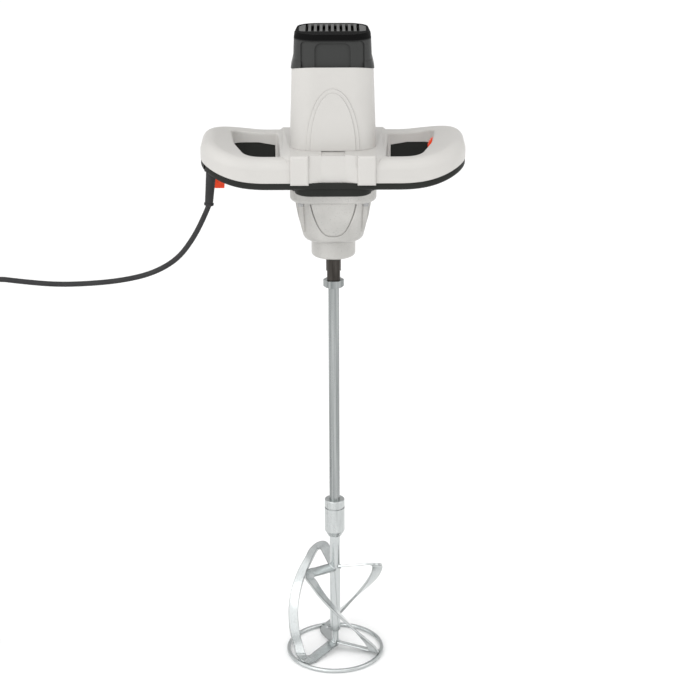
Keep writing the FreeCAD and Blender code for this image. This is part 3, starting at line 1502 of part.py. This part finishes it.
def main():
    pieces = {
        "mixing_ring": mixing_ring(),
        "lower_shaft": lower_shaft(),
        "shaft_coupling": shaft_coupling(),
        "upper_shaft": upper_shaft(),
        "spindle": spindle(),
        "oil_seal": oil_seal(),
        "lower_spindle_bearing": spindle_bearing(bearing_low),
        "upper_spindle_bearing": spindle_bearing(bearing_high),
        "gearbox_housing": gearbox_housing(),
        "output_gear": output_gear(),
        "gear_clip": gear_clip(),
        "counter_shaft": counter_shaft(),
        "counter_gear": counter_gear(),
        "lower_counter_bearing": counter_bearing(z_floor + ring_thickness),
        "upper_counter_bearing": counter_bearing(z_belly),
        "gear_plate": gear_plate(),
        "armature_shaft": armature_shaft(),
        "armature_core": armature_core(),
        "commutator": commutator(),
        "cooling_fan": cooling_fan(),
        "stator": stator(),
        "lower_motor_bearing": lower_motor_bearing(),
        "upper_motor_bearing": upper_motor_bearing(),
        "carbon_brushes": brushes(),
        "brush_holders": brush_holders(),
        "motor_housing": motor_housing(),
        "top_cap": top_cap(),
        "vent_grille": vent_grille(),
        "case_bolts": case_bolts(),
        "handle_upper_shell": handle_upper_shell(),
        "handle_lower_shell": handle_lower_shell(),
        "handle_screws": handle_screws(),
        "gearbox_screws": gearbox_screws(),
        "trigger": trigger(),
        "trigger_pin": trigger_pin(),
        "switch_module": switch_module(),
        "speed_dial": speed_dial(),
        "speed_module": speed_module(),
        "cord_guard": cord_guard(),
        "cord_lead": cord_lead(),
        "cord_coil": cord_coil(),
        "cord_tie": cord_tie(),
        "cord_tail": cord_tail(),
        "plug_body": plug_body(),
        "plug_pins": plug_pins(),
    }
    for index in range(blade_count):
        pieces["blade_%d" % (index + 1)] = blade(index)
    os.makedirs("parts", exist_ok=True)
    for name, shape in pieces.items():
        shape.exportStep("parts/%s.step" % name)
        print(name, len(shape.Solids), shape.isValid(), round(shape.Volume))


main()
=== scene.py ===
import math

import bpy
from mathutils import Matrix, Vector


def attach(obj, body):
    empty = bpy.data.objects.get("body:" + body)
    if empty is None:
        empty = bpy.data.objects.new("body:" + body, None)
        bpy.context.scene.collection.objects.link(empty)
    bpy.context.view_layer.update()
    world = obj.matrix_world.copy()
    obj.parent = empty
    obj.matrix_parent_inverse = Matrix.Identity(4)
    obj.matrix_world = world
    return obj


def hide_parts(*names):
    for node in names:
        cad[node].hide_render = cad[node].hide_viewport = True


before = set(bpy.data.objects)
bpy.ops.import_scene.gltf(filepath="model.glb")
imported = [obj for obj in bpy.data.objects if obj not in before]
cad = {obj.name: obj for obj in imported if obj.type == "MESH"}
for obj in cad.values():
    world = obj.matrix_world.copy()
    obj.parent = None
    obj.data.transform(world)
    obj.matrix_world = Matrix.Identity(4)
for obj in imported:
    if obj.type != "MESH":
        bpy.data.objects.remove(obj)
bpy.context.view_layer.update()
mm = 0.001
print("mixing drill loaded,", len(cad), "CAD pieces")

# camera, solved from the photo: a long lens, a little above the tool
photoView = {"lens": 91.45, "sensor": 36, "distance": 2.2546, "height": 1.294,
             "pitch": 20.2, "yaw": -0.486, "roll": -0.105}


def addCamera(view):
    lens = bpy.data.cameras.new("photoCamera")
    lens.lens = view["lens"]
    lens.sensor_width = view["sensor"]
    lens.sensor_fit = "HORIZONTAL"
    viewer = bpy.data.objects.new("photoCamera", lens)
    bpy.context.scene.collection.objects.link(viewer)
    viewer.location = (0, -view["distance"], view["height"])
    turn = Matrix.Rotation(math.radians(view["yaw"]), 4, "Z")
    turn = turn @ Matrix.Rotation(math.radians(90 - view["pitch"]), 4, "X")
    turn = turn @ Matrix.Rotation(math.radians(view["roll"]), 4, "Z")
    viewer.rotation_euler = turn.to_euler()
    bpy.context.scene.camera = viewer


addCamera(photoView)
print("camera set")

# finishes, all on the piece's own coordinates
noiseMiddle = (0.35, 0.65)  # most of a noise's values lie between these
fromNoneToAll = (0, 1)
white = (1, 1, 1)
edgeSamples = 6
edgeFade = (0.86, 0.995)  # cosine of the turn at an edge, where the painted edge shade is full and where it ends


def newFinish(name):
    finish = bpy.data.materials.new(name)
    finish.use_nodes = True
    return finish, finish.node_tree.nodes["Principled BSDF"]


def objectPlace(tree, stretch=(1, 1, 1)):
    place = tree.nodes.new("ShaderNodeTexCoord")
    mapping = tree.nodes.new("ShaderNodeMapping")
    mapping.inputs["Scale"].default_value = stretch
    tree.links.new(place.outputs["Object"], mapping.inputs["Vector"])
    return mapping.outputs["Vector"]


def addNoise(tree, place, scale, detail=4, roughness=0.55):
    noise = tree.nodes.new("ShaderNodeTexNoise")
    noise.inputs["Scale"].default_value = scale
    noise.inputs["Detail"].default_value = detail
    noise.inputs["Roughness"].default_value = roughness
    tree.links.new(place, noise.inputs["Vector"])
    return noise.outputs["Fac"]


def spread(tree, value, low, high, span=noiseMiddle):
    ranged = tree.nodes.new("ShaderNodeMapRange")
    ranged.inputs["From Min"].default_value = span[0]
    ranged.inputs["From Max"].default_value = span[1]
    ranged.inputs["To Min"].default_value = low
    ranged.inputs["To Max"].default_value = high
    tree.links.new(value, ranged.inputs["Value"])
    return ranged.outputs["Result"]


def blendColours(tree, value, first, second, span=noiseMiddle):
    ramp = tree.nodes.new("ShaderNodeValToRGB")
    for stop, position, colour in zip(ramp.color_ramp.elements, span, (first, second)):
        stop.position = position
        stop.color = (*colour, 1)
    tree.links.new(value, ramp.inputs["Fac"])
    return ramp.outputs["Color"]


def roundEdges(tree, radius):
    rounded = tree.nodes.new("ShaderNodeBevel")
    rounded.samples = edgeSamples
    rounded.inputs["Radius"].default_value = radius
    return rounded.outputs["Normal"]


# painted shade: darkens a colour along rounded edges
def paintEdgeShade(tree, colour, radius, shade):
    flat = tree.nodes.new("ShaderNodeNewGeometry")
    turned = tree.nodes.new("ShaderNodeVectorMath")
    turned.operation = "DOT_PRODUCT"
    tree.links.new(roundEdges(tree, radius), turned.inputs[0])
    tree.links.new(flat.outputs["Normal"], turned.inputs[1])
    fade = blendColours(tree, turned.outputs["Value"], (shade,) * 3, white, edgeFade)
    tint = tree.nodes.new("ShaderNodeVectorMath")
    tint.operation = "MULTIPLY"
    tree.links.new(colour, tint.inputs[0])
    tree.links.new(fade, tint.inputs[1])
    return tint.outputs["Vector"]


def addBump(tree, shader, height, look):
    bump = tree.nodes.new("ShaderNodeBump")
    bump.inputs["Strength"].default_value = look["bump"]
    bump.inputs["Distance"].default_value = look["depth"]
    tree.links.new(height, bump.inputs["Height"])
    tree.links.new(roundEdges(tree, look["edge"]), bump.inputs["Normal"])
    tree.links.new(bump.outputs["Normal"], shader.inputs["Normal"])


def addHeight(tree, place):
    parts = tree.nodes.new("ShaderNodeSeparateXYZ")
    tree.links.new(place, parts.inputs["Vector"])
    return parts.outputs["Z"]


def addUp(tree, first, second):
    total = tree.nodes.new("ShaderNodeMath")
    total.operation = "ADD"
    tree.links.new(first, total.inputs[0])
    tree.links.new(second, total.inputs[1])
    return total.outputs["Value"]


def plasticFinish(name, look):
    finish, shader = newFinish(name)
    tree = finish.node_tree
    place = objectPlace(tree)
    grain = addNoise(tree, place, look["grain"], detail=2)
    gloss = spread(tree, grain, *look["gloss"])
    if "hood" in look:  # painted shade: darker above a height, in place of the dark reflection on the cap's top; coarser there too
        upper = spread(tree, addHeight(tree, place), 0, 1, look["hood"])
        colour = blendColours(tree, upper, look["colour"], look["hoodPaintedShade"], fromNoneToAll)
        gloss = addUp(tree, gloss, spread(tree, upper, 0, look["hoodMatt"], fromNoneToAll))
    else:
        clouds = addNoise(tree, place, look["cloud"])
        colour = blendColours(tree, clouds, look["shade"], look["colour"])
    tree.links.new(colour, shader.inputs["Base Color"])
    tree.links.new(gloss, shader.inputs["Roughness"])
    shader.inputs["Specular IOR Level"].default_value = look["specular"]
    addBump(tree, shader, grain, look)
    return finish


def castFinish(name, look):
    finish, shader = newFinish(name)
    tree = finish.node_tree
    place = objectPlace(tree)
    pits = addNoise(tree, place, look["grain"], detail=3, roughness=0.7)
    flow = addNoise(tree, place, look["cloud"], detail=5)
    shader.inputs["Metallic"].default_value = look["metal"]
    tree.links.new(blendColours(tree, flow, look["shade"], look["colour"]), shader.inputs["Base Color"])
    tree.links.new(spread(tree, pits, *look["gloss"]), shader.inputs["Roughness"])
    addBump(tree, shader, pits, look)
    return finish


def platedFinish(name, look):
    finish, shader = newFinish(name)
    tree = finish.node_tree
    drawn = addNoise(tree, objectPlace(tree, look["stretch"]), look["grain"], detail=3)
    stain = addNoise(tree, objectPlace(tree), look["cloud"], detail=6, roughness=0.6)
    shader.inputs["Metallic"].default_value = 1
    colour = blendColours(tree, drawn, look["shade"], look["colour"])
    if "edgeShadeRadius" in look:  # painted shade: the sheared and turned edges are darkened, in place of their dark reflections
        colour = paintEdgeShade(tree, colour, look["edgeShadeRadius"], look["edgeShadeTone"])
    tree.links.new(colour, shader.inputs["Base Color"])
    tree.links.new(spread(tree, stain, *look["gloss"]), shader.inputs["Roughness"])
    addBump(tree, shader, drawn, look)
    return finish


# depths, edges and the hood's height in metres
plastics = {
    "paleHousing": {"colour": (0.545, 0.533, 0.511), "shade": (0.518, 0.506, 0.485), "cloud": 9,
                    "grain": 1400, "gloss": (0.34, 0.46), "specular": 0.45,
                    "bump": 0.12, "depth": 0.00012, "edge": 0.0011},
    "grilleGrey": {"colour": (0.128, 0.128, 0.125), "shade": (0.102, 0.102, 0.100), "cloud": 30,
                   "grain": 1600, "gloss": (0.5, 0.65), "specular": 0.25,
                   "bump": 0.15, "depth": 0.00012, "edge": 0.0003},
    "blackShell": {"colour": (0.022, 0.023, 0.021), "shade": (0.017, 0.018, 0.016), "cloud": 14,
                   "grain": 1500, "gloss": (0.44, 0.58), "specular": 0.11,
                   "bump": 0.22, "depth": 0.00015, "edge": 0.0006},
    # the near-black hood colour is painted shade on the cap's top
    "capBlack": {"colour": (0.042, 0.043, 0.042), "hoodPaintedShade": (0.002, 0.002, 0.002),
                 "hood": (0.8890, 0.8915), "hoodMatt": 0.4,
                 "grain": 1500, "gloss": (0.36, 0.48), "specular": 0.11,
                 "bump": 0.2, "depth": 0.00015, "edge": 0.0012},
    "softBlack": {"colour": (0.022, 0.022, 0.023), "shade": (0.014, 0.014, 0.015), "cloud": 40,
                  "grain": 1100, "gloss": (0.45, 0.62), "specular": 0.35,
                  "bump": 0.2, "depth": 0.00018, "edge": 0.0004},
    "triggerRed": {"colour": (0.95, 0.070, 0.012), "shade": (0.88, 0.058, 0.010), "cloud": 30,
                   "grain": 1500, "gloss": (0.34, 0.46), "specular": 0.3,
                   "bump": 0.08, "depth": 0.0001, "edge": 0.0005},
    "graphite": {"colour": (0.04, 0.04, 0.042), "shade": (0.025, 0.025, 0.026), "cloud": 60,
                 "grain": 1800, "gloss": (0.6, 0.75), "specular": 0.3,
                 "bump": 0.2, "depth": 0.0001, "edge": 0.0003},
}
castings = {
    "castAluminium": {"colour": (0.530, 0.521, 0.499), "shade": (0.430, 0.423, 0.405), "cloud": 18,
                      "metal": 0.65, "grain": 900, "gloss": (0.27, 0.40),
                      "bump": 0.22, "depth": 0.0002, "edge": 0.0008},
    "stackedSheets": {"colour": (0.30, 0.30, 0.31), "shade": (0.20, 0.20, 0.21), "cloud": 40,
                      "metal": 0.9, "grain": 700, "gloss": (0.45, 0.6),
                      "bump": 0.2, "depth": 0.0002, "edge": 0.0003},
}
platings = {
    # the last two values of brightZinc and turnedZinc set painted shade along their edges
    "brightZinc": {"colour": (0.575, 0.600, 0.600), "shade": (0.530, 0.553, 0.553), "cloud": 30,
                   "grain": 420, "stretch": (1, 1, 0.6), "gloss": (0.16, 0.25),
                   "bump": 0.015, "depth": 0.00006, "edge": 0.0005, "edgeShadeRadius": 0.0016, "edgeShadeTone": 0.08},
    "turnedZinc": {"colour": (0.580, 0.602, 0.600), "shade": (0.470, 0.490, 0.488), "cloud": 26,
                   "grain": 260, "stretch": (1, 1, 0.1), "gloss": (0.20, 0.30),
                   "bump": 0.04, "depth": 0.0001, "edge": 0.0005, "edgeShadeRadius": 0.0009, "edgeShadeTone": 0.45},
    "drawnZinc": {"colour": (0.420, 0.438, 0.436), "shade": (0.225, 0.240, 0.239), "cloud": 22,
                  "grain": 210, "stretch": (1, 1, 0.02), "gloss": (0.22, 0.34),
                  "bump": 0.06, "depth": 0.0001, "edge": 0.0006},
    "blackenedSteel": {"colour": (0.080, 0.073, 0.067), "shade": (0.042, 0.038, 0.034), "cloud": 60,
                       "grain": 240, "stretch": (1, 1, 0.1), "gloss": (0.28, 0.40),
                       "bump": 0.05, "depth": 0.0001, "edge": 0.0006},
    "gearSteel": {"colour": (0.50, 0.50, 0.51), "shade": (0.40, 0.40, 0.41), "cloud": 50,
                  "grain": 500, "stretch": (1, 1, 0.1), "gloss": (0.25, 0.38),
                  "bump": 0.06, "depth": 0.0001, "edge": 0.0003},
    "dullZinc": {"colour": (0.42, 0.42, 0.42), "shade": (0.30, 0.30, 0.30), "cloud": 80,
                 "grain": 500, "stretch": (1, 1, 1), "gloss": (0.3, 0.45),
                 "bump": 0.06, "depth": 0.0001, "edge": 0.0002},
    "copper": {"colour": (0.76, 0.40, 0.24), "shade": (0.62, 0.30, 0.17), "cloud": 60,
               "grain": 500, "stretch": (1, 1, 0.1), "gloss": (0.25, 0.4),
               "bump": 0.05, "depth": 0.0001, "edge": 0.0003},
    "brassSheet": {"colour": (0.78, 0.60, 0.28), "shade": (0.64, 0.48, 0.20), "cloud": 60,
                   "grain": 500, "stretch": (1, 1, 1), "gloss": (0.25, 0.4),
                   "bump": 0.05, "depth": 0.0001, "edge": 0.0003},
    "nickelPins": {"colour": (0.78, 0.76, 0.72), "shade": (0.66, 0.64, 0.60), "cloud": 120,
                   "grain": 500, "stretch": (1, 0.1, 1), "gloss": (0.15, 0.28),
                   "bump": 0.04, "depth": 0.0001, "edge": 0.0003},
}
finishes = {name: plasticFinish(name, look) for name, look in plastics.items()}
finishes.update({name: castFinish(name, look) for name, look in castings.items()})
finishes.update({name: platedFinish(name, look) for name, look in platings.items()})

cadFinishes = {
    "paleHousing": ["motor_housing", "handle_upper_shell"],
    "grilleGrey": ["vent_grille"],
    "capBlack": ["top_cap"],
    "blackShell": ["handle_lower_shell", "switch_module", "speed_module", "plug_body", "cooling_fan"],
    "softBlack": ["cord_guard", "cord_tie", "oil_seal"],
    "triggerRed": ["trigger", "speed_dial"],
    "graphite": ["carbon_brushes"],
    "castAluminium": ["gearbox_housing", "gear_plate"],
    "stackedSheets": ["armature_core", "stator"],
    "brightZinc": ["mixing_ring", "lower_shaft", "blade_1", "blade_2", "blade_3"],
    "turnedZinc": ["shaft_coupling"],
    "drawnZinc": ["upper_shaft"],
    "blackenedSteel": ["spindle"],
    "gearSteel": ["output_gear", "counter_shaft", "counter_gear", "armature_shaft", "gear_clip",
                  "trigger_pin", "lower_spindle_bearing", "upper_spindle_bearing",
                  "lower_counter_bearing", "upper_counter_bearing", "lower_motor_bearing",
                  "upper_motor_bearing"],
    "dullZinc": ["case_bolts"],
    "copper": ["commutator"],
    "brassSheet": ["brush_holders"],
    "nickelPins": ["plug_pins"],
}
for finishName, pieceNames in cadFinishes.items():
    for pieceName in pieceNames:
        for materialSlot in cad[pieceName].material_slots:
            materialSlot.material = finishes[finishName]
print("finishes on", sum(len(names) for names in cadFinishes.values()), "CAD pieces")

# cord: points along its way in the photo and down to the floor, then a coil in two layers
# sizes in millimetres and degrees, the length in metres
cordLook = {"diameter": 7.0, "length": 2.41, "coilX": -551.0, "coilY": 12.0, "coilRadius": 52.0,
            "turnStep": 7.8, "layerStep": 7.7, "quarters": 10, "climbInset": 2.2, "layZ": 5.0,
            "arcStep": 30, "tail": 14.0, "stepsAlong": 6, "stepsRound": 5}
cordRoute = [
    (-161, -42, 677.56), (-167.5, -42, 662), (-182.5, -42, 633), (-204, -42, 604.5),
    (-237, -42, 585.5), (-277, -42, 576), (-320, -42, 571.8), (-364, -42, 570.6),
    (-408, -42, 574.8), (-449, -41, 580), (-483, -40, 561), (-498, -39, 519), (-503, -40, 460),
    (-504, -43, 380), (-503, -46, 298), (-500, -49, 212), (-499, -51, 130), (-499, -50, 70),
    (-499, -40, 28), (-499, -14, 5.0), (-499, 12, 5.0),
]


def flatWay(angle):
    return Vector((math.cos(math.radians(angle)), math.sin(math.radians(angle)), 0))


def quarterOn(way):
    return Vector((-way.y, way.x, 0))


def arcParts(look, sweep):
    return range(look["arcStep"] // 2, sweep, look["arcStep"])


def arcReach(look):  # control points stand a little outside the turn
    return 1 / math.cos(math.radians(look["arcStep"] / 2))


def layTurns(points, look, centre, radius, angle, inset):
    for quarter in range(look["quarters"]):
        for part in arcParts(look, 90):
            points.append(centre + flatWay(angle + part) * radius * arcReach(look))
        angle += 90
        centre = centre + flatWay(angle) * inset
        radius -= inset
    return centre, radius, angle


def coilPoints(look):
    points = []
    inset = look["turnStep"] / 4
    centre = Vector((look["coilX"], look["coilY"] + look["diameter"], look["layZ"]))
    centre, radius, angle = layTurns(points, look, centre, look["coilRadius"], 0, inset)
    # half a turn that leans up to the second layer
    outwards = flatWay(angle)
    onwards = quarterOn(outwards)
    start = centre + outwards * radius
    climb = radius - look["climbInset"]
    lean = math.asin(look["layerStep"] / (2 * climb))
    inwards = outwards * -math.cos(lean) + Vector((0, 0, math.sin(lean)))
    middle = start + inwards * climb
    for part in arcParts(look, 180):
        way = math.radians(part)
        points.append(middle + (inwards * -math.cos(way) + onwards * math.sin(way)) * climb * arcReach(look))
    # the second layer winds out again, and ends in a straight tail
    radius = climb + inset
    centre = start + inwards * 2 * climb + outwards * radius
    centre, radius, angle = layTurns(points, look, centre, radius, angle + 180, -inset)
    outwards = flatWay(angle)
    onwards = quarterOn(outwards)
    last = centre + outwards * radius
    points.append(last + onwards * look["diameter"])
    points.append(last + onwards * (look["diameter"] + look["tail"]))
    return points


def addCord(look, route):
    points = [Vector(point) for point in route] + coilPoints(look)
    line = bpy.data.curves.new("cord", "CURVE")
    line.dimensions = "3D"
    spline = line.splines.new("NURBS")
    spline.points.add(len(points) - 1)
    for spot, point in zip(spline.points, points):
        spot.co = (*(point * mm), 1)
    spline.order_u = 3
    spline.use_endpoint_u = True
    spline.resolution_u = look["stepsAlong"]
    line.bevel_depth = look["diameter"] / 2 * mm
    line.bevel_resolution = look["stepsRound"]
    line.use_fill_caps = True
    piece = bpy.data.objects.new("cord", line)
    bpy.context.scene.collection.objects.link(piece)
    line.materials.append(finishes["softBlack"])
    return piece


cord = addCord(cordLook, cordRoute)
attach(cord, "tool")
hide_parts("cord_lead", "cord_coil", "cord_tail")
print("cord laid")

# hand tools
facing = 0.9  # a face with more of its normal than this along Z points up or down


def facesUp(face):
    return face.normal.z > facing


def facesDown(face):
    return face.normal.z < -facing


def clearSelection():
    bpy.ops.object.select_all(action="DESELECT")


def objectMode():
    bpy.ops.object.mode_set(mode="OBJECT")


def chooseFaces(piece, wanted):
    bpy.context.view_layer.objects.active = piece
    bpy.ops.object.mode_set(mode="EDIT")
    bpy.ops.mesh.select_mode(type="FACE")
    bpy.ops.mesh.select_all(action="DESELECT")
    objectMode()
    for face in piece.data.polygons:
        face.select = wanted(face)
    bpy.ops.object.mode_set(mode="EDIT")


def applyPlace():
    bpy.ops.object.transform_apply(location=True, rotation=True, scale=True)


def applyModifier(piece, name, kind, settings):
    modifier = piece.modifiers.new(name, kind)
    for setting, value in settings.items():
        setattr(modifier, setting, value)
    bpy.context.view_layer.objects.active = piece
    bpy.ops.object.modifier_apply(modifier=name)


def copyTo(piece, place, turn=0):
    twin = piece.copy()
    twin.data = piece.data.copy()
    bpy.context.scene.collection.objects.link(twin)
    twin.location = place
    twin.rotation_euler = (0, 0, turn)
    return twin


def joinAs(pieces, name):
    clearSelection()
    for piece in pieces:
        piece.select_set(True)
    bpy.context.view_layer.objects.active = pieces[0]
    applyPlace()
    bpy.ops.object.join()
    whole = bpy.context.object
    whole.name = name
    whole.data.name = name
    bpy.context.scene.cursor.location = (0, 0, 0)
    bpy.ops.object.origin_set(type="ORIGIN_CURSOR")
    return whole


def finishPiece(piece, finish, body, angle=35):
    clearSelection()
    piece.select_set(True)
    bpy.context.view_layer.objects.active = piece
    bpy.ops.object.shade_smooth_by_angle(angle=math.radians(angle))
    piece.data.materials.clear()
    piece.data.materials.append(finishes[finish])
    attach(piece, body)


# welds: rows of flattened drops, run together, where the strips meet the shaft and the ring
# sizes in millimetres and degrees; a drop's size is its radius, and shares are of that
weldLook = {"drop": 1.55, "dropLevel": 2, "flat": 0.8, "voxel": 0.42, "smoothAngle": 60,
            "softening": {"factor": 0.5, "iterations": 3}, "strips": 3, "firstStrip": -12, "strip": 3.0,
            "besideShare": 0.35, "proudShare": 0.2, "wrapShare": 1 / 3,
            "top": {"radius": 7.25, "z": 134, "pitch": 28, "reach": 5.4, "drops": 7},
            "foot": {"radius": 5.0, "z": 12, "pitch": 20, "reach": 3.4, "drops": 5},
            "ring": {"radius": 64.9, "highZ": 8.3, "lowZ": 6.9, "from": -11.5, "to": -1.5, "drops": 7}}


def roundAxis(radius, turn, z):
    return Vector((radius * math.cos(turn), radius * math.sin(turn), z)) * mm


def shaftWeld(look, seam, azimuth, side):
    places = []
    pitch = math.radians(seam["pitch"])
    offset = side * (look["strip"] / 2 + look["drop"] * look["besideShare"])
    reach = seam["radius"] + look["drop"] * look["proudShare"]
    wrap = seam["radius"] + look["drop"] * look["wrapShare"]
    for index in range(seam["drops"]):
        along = (2 * index / (seam["drops"] - 1) - 1) * seam["reach"]
        sideways = along * math.cos(pitch) + offset * math.sin(pitch)
        up = offset * math.cos(pitch) - along * math.sin(pitch)
        places.append(roundAxis(reach, azimuth + math.asin(sideways / wrap), seam["z"] + up))
    return places


def ringWeld(seam, azimuth):
    places = []
    for index in range(seam["drops"]):
        share = index / (seam["drops"] - 1)
        turn = azimuth + math.radians(seam["from"] + (seam["to"] - seam["from"]) * share)
        z = seam["highZ"] + (seam["lowZ"] - seam["highZ"]) * share
        places.append(roundAxis(seam["radius"], turn, z))
    return places


def addWelds(look):
    clearSelection()
    bpy.ops.mesh.primitive_ico_sphere_add(subdivisions=look["dropLevel"], radius=look["drop"] * mm,
                                          location=(0, 0, 0))
    drop = bpy.context.object
    bpy.ops.object.mode_set(mode="EDIT")
    bpy.ops.mesh.select_all(action="SELECT")
    bpy.ops.transform.resize(value=(1, 1, look["flat"]))
    objectMode()
    places = []
    for strip in range(look["strips"]):
        azimuth = math.radians(look["firstStrip"] + 360 * strip / look["strips"])
        for side in (-1, 1):
            places += shaftWeld(look, look["top"], azimuth, side)
            places += shaftWeld(look, look["foot"], azimuth, side)
        places += ringWeld(look["ring"], azimuth)
    drops = [copyTo(drop, place) for place in places]
    bpy.data.objects.remove(drop)
    welds = joinAs(drops, "weldBeads")
    applyModifier(welds, "runTogether", "REMESH", {"mode": "VOXEL", "voxel_size": look["voxel"] * mm})
    applyModifier(welds, "soften", "SMOOTH", look["softening"])
    finishPiece(welds, "brightZinc", "paddle", look["smoothAngle"])


addWelds(weldLook)
print("welds laid")

# screws with driven heads, in place of the plain ones; the handle's seats rise along its bent-up ends
# sizes in millimetres; turnShare leaves each screw at its own turn
crossScrew = {"head": 7.5, "headHeight": 2.0, "shank": 4.0, "length": 22.0, "sides": 32,
              "rim": 0.5, "rimSteps": 3, "tipSteps": 2,
              "slotLength": 4.6, "slotWidth": 1.1, "slotDepth": 1.5, "slotTaper": 0.6,
              "horn": {"start": 85.0, "radius": 198.0}, "seat": 708.0, "turnShare": 0.3,
              "places": [(102.5, -70), (102.5, 65), (140, -58), (140, 58)]}
socketScrew = {"head": 8.5, "headHeight": 5.0, "shank": 5.0, "length": 48.0, "sides": 32,
               "rim": 0.6, "rimSteps": 3, "tipSteps": 2,
               "socket": 4.0, "socketSides": 6, "slotDepth": 2.6,
               "seat": 681.0, "turnShare": 0.2, "places": [(42, -42), (42, 42)]}


def turnedScrew(look):
    clearSelection()
    bpy.ops.mesh.primitive_cylinder_add(vertices=look["sides"], radius=look["head"] / 2 * mm,
                                        depth=look["headHeight"] * mm,
                                        location=(0, 0, -look["headHeight"] / 2 * mm))
    piece = bpy.context.object
    applyPlace()
    chooseFaces(piece, facesDown)
    bpy.ops.mesh.bevel(offset=look["rim"] * mm, segments=look["rimSteps"], affect="EDGES")
    objectMode()
    chooseFaces(piece, facesUp)
    bpy.ops.mesh.inset(thickness=(look["head"] - look["shank"]) / 2 * mm)
    bpy.ops.mesh.extrude_region_move(TRANSFORM_OT_translate={"value": (0, 0, look["length"] * mm)})
    bpy.ops.mesh.bevel(offset=look["rim"] * mm, segments=look["tipSteps"], affect="EDGES")
    objectMode()
    return piece


def cutRecess(piece, cutter):
    applyModifier(piece, "recess", "BOOLEAN",
                  {"operation": "DIFFERENCE", "object": cutter, "solver": "EXACT"})
    bpy.data.objects.remove(cutter)


def addSlotCutter(look, turn):
    clearSelection()
    bpy.ops.mesh.primitive_cube_add(size=1, location=(0, 0, -look["headHeight"] * mm), rotation=(0, 0, turn))
    cutter = bpy.context.object
    cutter.scale = (look["slotLength"] * mm, look["slotWidth"] * mm, 2 * look["slotDepth"] * mm)
    applyPlace()
    chooseFaces(cutter, facesUp)
    bpy.ops.transform.resize(value=(look["slotTaper"], look["slotTaper"], 1))
    objectMode()
    return cutter


def addSocketCutter(look):
    clearSelection()
    cornerRadius = look["socket"] / 2 / math.cos(math.pi / look["socketSides"])
    bpy.ops.mesh.primitive_cylinder_add(vertices=look["socketSides"], radius=cornerRadius * mm,
                                        depth=2 * look["slotDepth"] * mm,
                                        location=(0, 0, -look["headHeight"] * mm))
    cutter = bpy.context.object
    applyPlace()
    return cutter


def hornRise(look, x):
    if "horn" not in look:
        return 0
    horn = look["horn"]
    over = max(0, x - horn["start"])
    return horn["radius"] - math.sqrt(horn["radius"] ** 2 - over ** 2)


def placeScrews(screw, look, name):
    copies = []
    for x, y in look["places"]:
        z = look["seat"] + hornRise(look, x)
        for side in (-1, 1):
            copies.append(copyTo(screw, Vector((side * x, y, z)) * mm, look["turnShare"] * x + side * y))
    bpy.data.objects.remove(screw)
    screws = joinAs(copies, name)
    finishPiece(screws, "dullZinc", "tool")
    return screws


def addCrossScrews(look):
    screw = turnedScrew(look)
    for turn in (0, math.pi / 2):
        cutRecess(screw, addSlotCutter(look, turn))
    screws = placeScrews(screw, look, "crossScrews")
    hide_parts("handle_screws")


def addSocketScrews(look):
    screw = turnedScrew(look)
    cutRecess(screw, addSocketCutter(look))
    screws = placeScrews(screw, look, "socketScrews")
    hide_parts("gearbox_screws")


addCrossScrews(crossScrew)
addSocketScrews(socketScrew)
print("screws driven")

# floor and light, in metres and degrees; the sky is a little greyer behind the tool
floorLook = {"size": 80, "colour": (0.97, 0.97, 0.97), "roughness": 0.9, "specular": 0.1}
skyLook = {"strength": 0.84, "greyTowards": (0, 0.94, 0.34), "grey": 0.72, "greyFade": (0.62, 0.95)}
lampAim = (0, 0, 0.6)
sunLook = {"strength": 1.30, "softness": 110, "place": (-1.3, -1.9, 2.9)}
panelLooks = {"keyLight": {"power": 9, "size": 1.8, "place": (-1.5, -1.7, 1.7)},
              "fillLight": {"power": 9, "size": 1.8, "place": (2.3, -0.8, 1.5)}}


def addFloor(look):
    clearSelection()
    bpy.ops.mesh.primitive_plane_add(size=look["size"], location=(0, 0, 0))
    floor = bpy.context.object
    floor.name = "floor"
    finish, shader = newFinish("floorPaint")
    shader.inputs["Base Color"].default_value = (*look["colour"], 1)
    shader.inputs["Roughness"].default_value = look["roughness"]
    shader.inputs["Specular IOR Level"].default_value = look["specular"]
    floor.data.materials.append(finish)


def addSky(look):
    world = bpy.data.worlds.new("studio")
    bpy.context.scene.world = world
    world.use_nodes = True
    tree = world.node_tree
    sky = tree.nodes["Background"]
    sky.inputs["Strength"].default_value = look["strength"]
    around = tree.nodes.new("ShaderNodeTexCoord")
    towards = tree.nodes.new("ShaderNodeVectorMath")
    towards.operation = "DOT_PRODUCT"
    towards.inputs[1].default_value = look["greyTowards"]
    tree.links.new(around.outputs["Generated"], towards.inputs[0])
    tone = blendColours(tree, towards.outputs["Value"], white, (look["grey"],) * 3, look["greyFade"])
    tree.links.new(tone, sky.inputs["Color"])


def addLamp(name, light, place):
    lamp = bpy.data.objects.new(name, light)
    bpy.context.scene.collection.objects.link(lamp)
    lamp.location = place
    lamp.rotation_euler = (Vector(lampAim) - Vector(place)).to_track_quat("-Z", "Y").to_euler()


def addSun(look):
    sun = bpy.data.lights.new("softSun", "SUN")
    sun.energy = look["strength"]
    sun.angle = math.radians(look["softness"])
    addLamp("softSun", sun, look["place"])


def addPanel(name, look):
    panel = bpy.data.lights.new(name, "AREA")
    panel.energy = look["power"]
    panel.size = look["size"]
    addLamp(name, panel, look["place"])


addFloor(floorLook)
addSky(skyLook)
addSun(sunLook)
for panelName, panelLook in panelLooks.items():
    addPanel(panelName, panelLook)
bpy.context.scene.view_settings.view_transform = "Standard"
print("studio lit")
